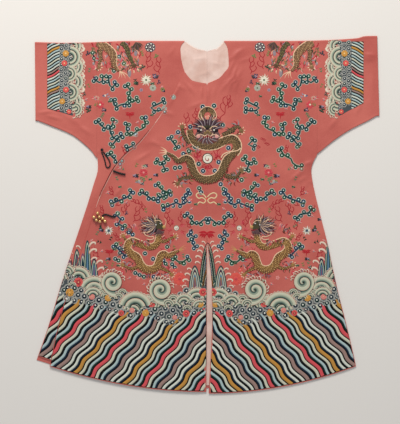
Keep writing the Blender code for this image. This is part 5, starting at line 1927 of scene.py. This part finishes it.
# Cord loops and bars --------------------------------------------------------------------------
# Black silk cord of three twisted strands.  The loop under the arm is held at the knot that
# gathers its ends; the bar it would close on and the bar of the side fastening are sewn down.
LOOP_CHEST = (                           # across, down
    (-389.4, 412), (-384.8, 422), (-380.5, 433.5), (-377, 445), (-375, 456),
    (-372, 465.5), (-364.5, 469), (-359, 463), (-358, 453.5), (-361.5, 442.5),
    (-368.5, 430.5), (-376.5, 419.5), (-382, 411),
)
STRAP_CHEST = ((-346, 481), (-331, 487), (-316, 491.5), (-302, 494.5))
STRAP_SIDE = ((-387, 646.5), (-376, 642), (-362, 645.5), (-350, 650), (-339, 649))
KNOT_CHEST = (-388.0, 403.0)
CORD, BAR, SIDE_BAR = 5.4, 8.0, 7.0      # thickness of the loop, the chest bar and the side bar
STRANDS, STRAND_SIDES = 3, 7
STRAND_THICK, STRAND_ASIDE = 0.50, 0.50  # of a strand and its place, as shares of the cord's radius
TWIST = 3.4                              # one full turn of the strands, in cord thicknesses
CORD_STEP, CORD_EASED = 1.6, 6           # a place this often along it, each eased so many times
CORD_BED = 0.2                           # how far the cord presses into the cloth
black_cord, tree, shader = new_material("twisted_black_silk_cord", "#0D0E11", Roughness=0.5,
                                        Specular_IOR_Level=0.35, Sheen_Weight=0.12)
place = add_node(tree, "ShaderNodeTexCoord").outputs["Object"]
yarn = add_node(tree, "ShaderNodeTexWave", {"Vector": place, "Scale": 1.0 / (0.9 * MM) / 20.0,
                                            "Distortion": 2.0}, bands_direction="DIAGONAL")
fuzz = add_node(tree, "ShaderNodeTexNoise", {"Vector": place, "Scale": 700.0, "Detail": 2.0})
bump = add_node(tree, "ShaderNodeBump", {"Height": yarn.outputs["Fac"], "Strength": 0.6,
                                         "Distance": 0.0004})
dull = add_node(tree, "ShaderNodeMapRange", {"Value": fuzz.outputs["Fac"], "To Min": 0.4,
                                             "To Max": 0.65})
tree.links.new(dull.outputs["Result"], shader.inputs["Roughness"])
tree.links.new(bump.outputs["Normal"], shader.inputs["Normal"])


def tube(route, sides, radius, closed=False):
    """Points and faces of a tube along a line of (across, down, height) points."""
    route = np.array(route)
    ahead = np.roll(route, -1, 0) - np.roll(route, 1, 0)
    if not closed:
        ahead[0], ahead[-1] = route[1] - route[0], route[-1] - route[-2]
    ahead /= np.linalg.norm(ahead, axis=1)[:, None]
    aside = np.cross(ahead, (0.0, 0.0, 1.0))
    aside /= np.linalg.norm(aside, axis=1)[:, None]
    above = np.cross(aside, ahead)
    points = []
    for spot, east, up in zip(route, aside, above):
        for k in range(sides):
            turn = 2.0 * math.pi * k / sides
            points.append(tuple(spot + radius * (math.cos(turn) * east + math.sin(turn) * up)))
    faces = []
    count = len(route)
    for i in range(count if closed else count - 1):
        for k in range(sides):
            here, beside = i * sides + k, i * sides + (k + 1) % sides
            onward = (i + 1) % count * sides - i * sides
            faces.append((here, here + onward, beside + onward, beside))
    if not closed:
        faces += [tuple(range(sides)), tuple(reversed(range((count - 1) * sides, count * sides)))]
    return points, faces


def join_shapes(name, shapes, material):
    """One piece from several shapes' points and faces."""
    points, faces = [], []
    for more, rims in shapes:
        faces += [tuple(k + len(points) for k in rim) for rim in rims]
        points += more
    return face_out(make_piece(name, points, faces, [material]))


def twisted_cord(node, route, thick, cloth):
    """A laid cord of twisted strands that follows the cloth it is sewn to."""
    line = even(curve(route, 6), CORD_STEP)
    ground = np.array([cloth.ray_cast((a, d, ABOVE), STRAIGHT_DOWN)[0].z for a, d in line])
    for _ in range(CORD_EASED):
        ground[1:-1] = np.maximum(ground[1:-1], (ground[:-2] + ground[2:]) / 2.0)
    radius = thick / 2.0
    line = np.column_stack((np.array(line), ground + radius - CORD_BED))
    run = np.concatenate(([0.0], np.cumsum(np.linalg.norm(np.diff(line, axis=0), axis=1))))
    ahead = np.gradient(line, axis=0)
    aside = np.cross(ahead, (0.0, 0.0, 1.0))
    aside /= np.linalg.norm(aside, axis=1)[:, None]
    shapes = []
    for strand in range(STRANDS):
        turn = 2.0 * math.pi * (run / (TWIST * thick) + strand / STRANDS)
        offset = STRAND_ASIDE * radius * (np.cos(turn)[:, None] * aside
                                          + np.sin(turn)[:, None] * np.array((0.0, 0.0, 1.0)))
        shapes.append(tube(line + offset, STRAND_SIDES, STRAND_THICK * radius))
    piece = join_shapes(f"{node}_cord", shapes, black_cord)
    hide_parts(node)


twisted_cord("loop_chest", LOOP_CHEST, CORD, cloth_tree(["front_inner_silk"]))
twisted_cord("strap_chest", STRAP_CHEST, BAR, cloth_tree(["front_overlap_silk"]))
twisted_cord("strap_side", STRAP_SIDE, SIDE_BAR, cloth_tree(["front_overlap_silk"]))

# The knot that gathers the loop's two ends: three turns of cord drawn tight over each other.
low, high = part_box("loop_chest_knot")
middle = np.array((KNOT_CHEST[0], KNOT_CHEST[1], (low.z + high.z) / 2.0 / MM))
KNOT_TURN, KNOT_CORD = 3.6, 2.0          # radii of each turn and of its cord
KNOT_LEANS = (-1.05, 0.0, 1.05)          # in radians: the three turns cross each other
shapes = []
for lean in KNOT_LEANS:
    shapes.append(tube([middle + KNOT_TURN * np.array(
        (math.cos(t) * math.cos(lean) - 0.35 * math.sin(t) * math.sin(lean),
         math.sin(t) * math.cos(lean) + 0.35 * math.cos(t) * math.sin(lean),
         0.45 * math.sin(2.0 * t + lean))) for t in np.linspace(0.0, 2.0 * math.pi, 17)[:-1]],
        8, KNOT_CORD, True))
piece = join_shapes("loop_chest_knotted", shapes, black_cord)
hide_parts("loop_chest_knot")


# Buttons --------------------------------------------------------------------------------------
# Seven small ball buttons of gilt brass, cast hollow with a lobed relief and a wire shank that is
# sewn to the overlap.  They hang in a cluster, so each turns its own way.
BUTTON_RADIUS = 6.5
BUTTON_LOBES, LOBE_RELIEF = 6, 0.05      # lobes round each button, and how deep they are cut
SHANK_TURN, SHANK_WIRE = 1.7, 0.5
BALL_RINGS, BALL_SIDES = 15, 24
gilt_brass, tree, shader = new_material("worn_gilt_brass", "#E6BF86", Roughness=0.34, Metallic=1.0)
place = add_node(tree, "ShaderNodeTexCoord").outputs["Object"]
rubbed = add_node(tree, "ShaderNodeTexNoise", {"Vector": place, "Scale": 400.0, "Detail": 4.0})
dull = add_node(tree, "ShaderNodeMapRange", {"Value": rubbed.outputs["Fac"], "To Min": 0.22,
                                             "To Max": 0.48})
pits = add_node(tree, "ShaderNodeBump", {"Height": rubbed.outputs["Fac"], "Strength": 0.25,
                                         "Distance": 0.0002})
tree.links.new(dull.outputs["Result"], shader.inputs["Roughness"])
tree.links.new(pits.outputs["Normal"], shader.inputs["Normal"])
draw = random.Random(21)
for number in range(1, 8):
    low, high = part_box(f"button_side_{number}")
    middle = np.array(((low.x + high.x) / 2.0 / MM, (SHOULDER - (low.y + high.y) / 2.0) / MM,
                       high.z / MM - BUTTON_RADIUS))
    spin, tilt = draw.uniform(0.0, 1.0), draw.uniform(-0.5, 0.5)
    ball = []
    for i in range(BALL_RINGS):
        polar = math.pi * (i + 0.02) / (BALL_RINGS - 0.96)
        for k in range(BALL_SIDES):
            turn = 2.0 * math.pi * k / BALL_SIDES
            lobed = 1.0 - LOBE_RELIEF * (0.5 + 0.5 * math.cos(BUTTON_LOBES * (turn + spin))) \
                * math.sin(polar) ** 0.5
            x, y, z = (math.sin(polar) * math.cos(turn), math.sin(polar) * math.sin(turn),
                       math.cos(polar))
            y, z = (y * math.cos(tilt) - z * math.sin(tilt),
                    y * math.sin(tilt) + z * math.cos(tilt))
            ball.append(tuple(middle + BUTTON_RADIUS * lobed * np.array((x, y, z))))
    rims = grid_faces(0, BALL_RINGS, BALL_SIDES, True)
    rims += [tuple(range(BALL_SIDES)),
             tuple(reversed(range((BALL_RINGS - 1) * BALL_SIDES, BALL_RINGS * BALL_SIDES)))]
    foot = middle - np.array((0.0, 0.0, BUTTON_RADIUS + 0.4))
    shank = tube([foot + SHANK_TURN * np.array((math.cos(t), 0.0, math.sin(t) * 0.7))
                  for t in np.linspace(0.0, 2.0 * math.pi, 13)[:-1]], 6, SHANK_WIRE, True)
    piece = join_shapes(f"gilt_button_{number}", [(ball, rims), shank], gilt_brass)
    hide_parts(f"button_side_{number}")
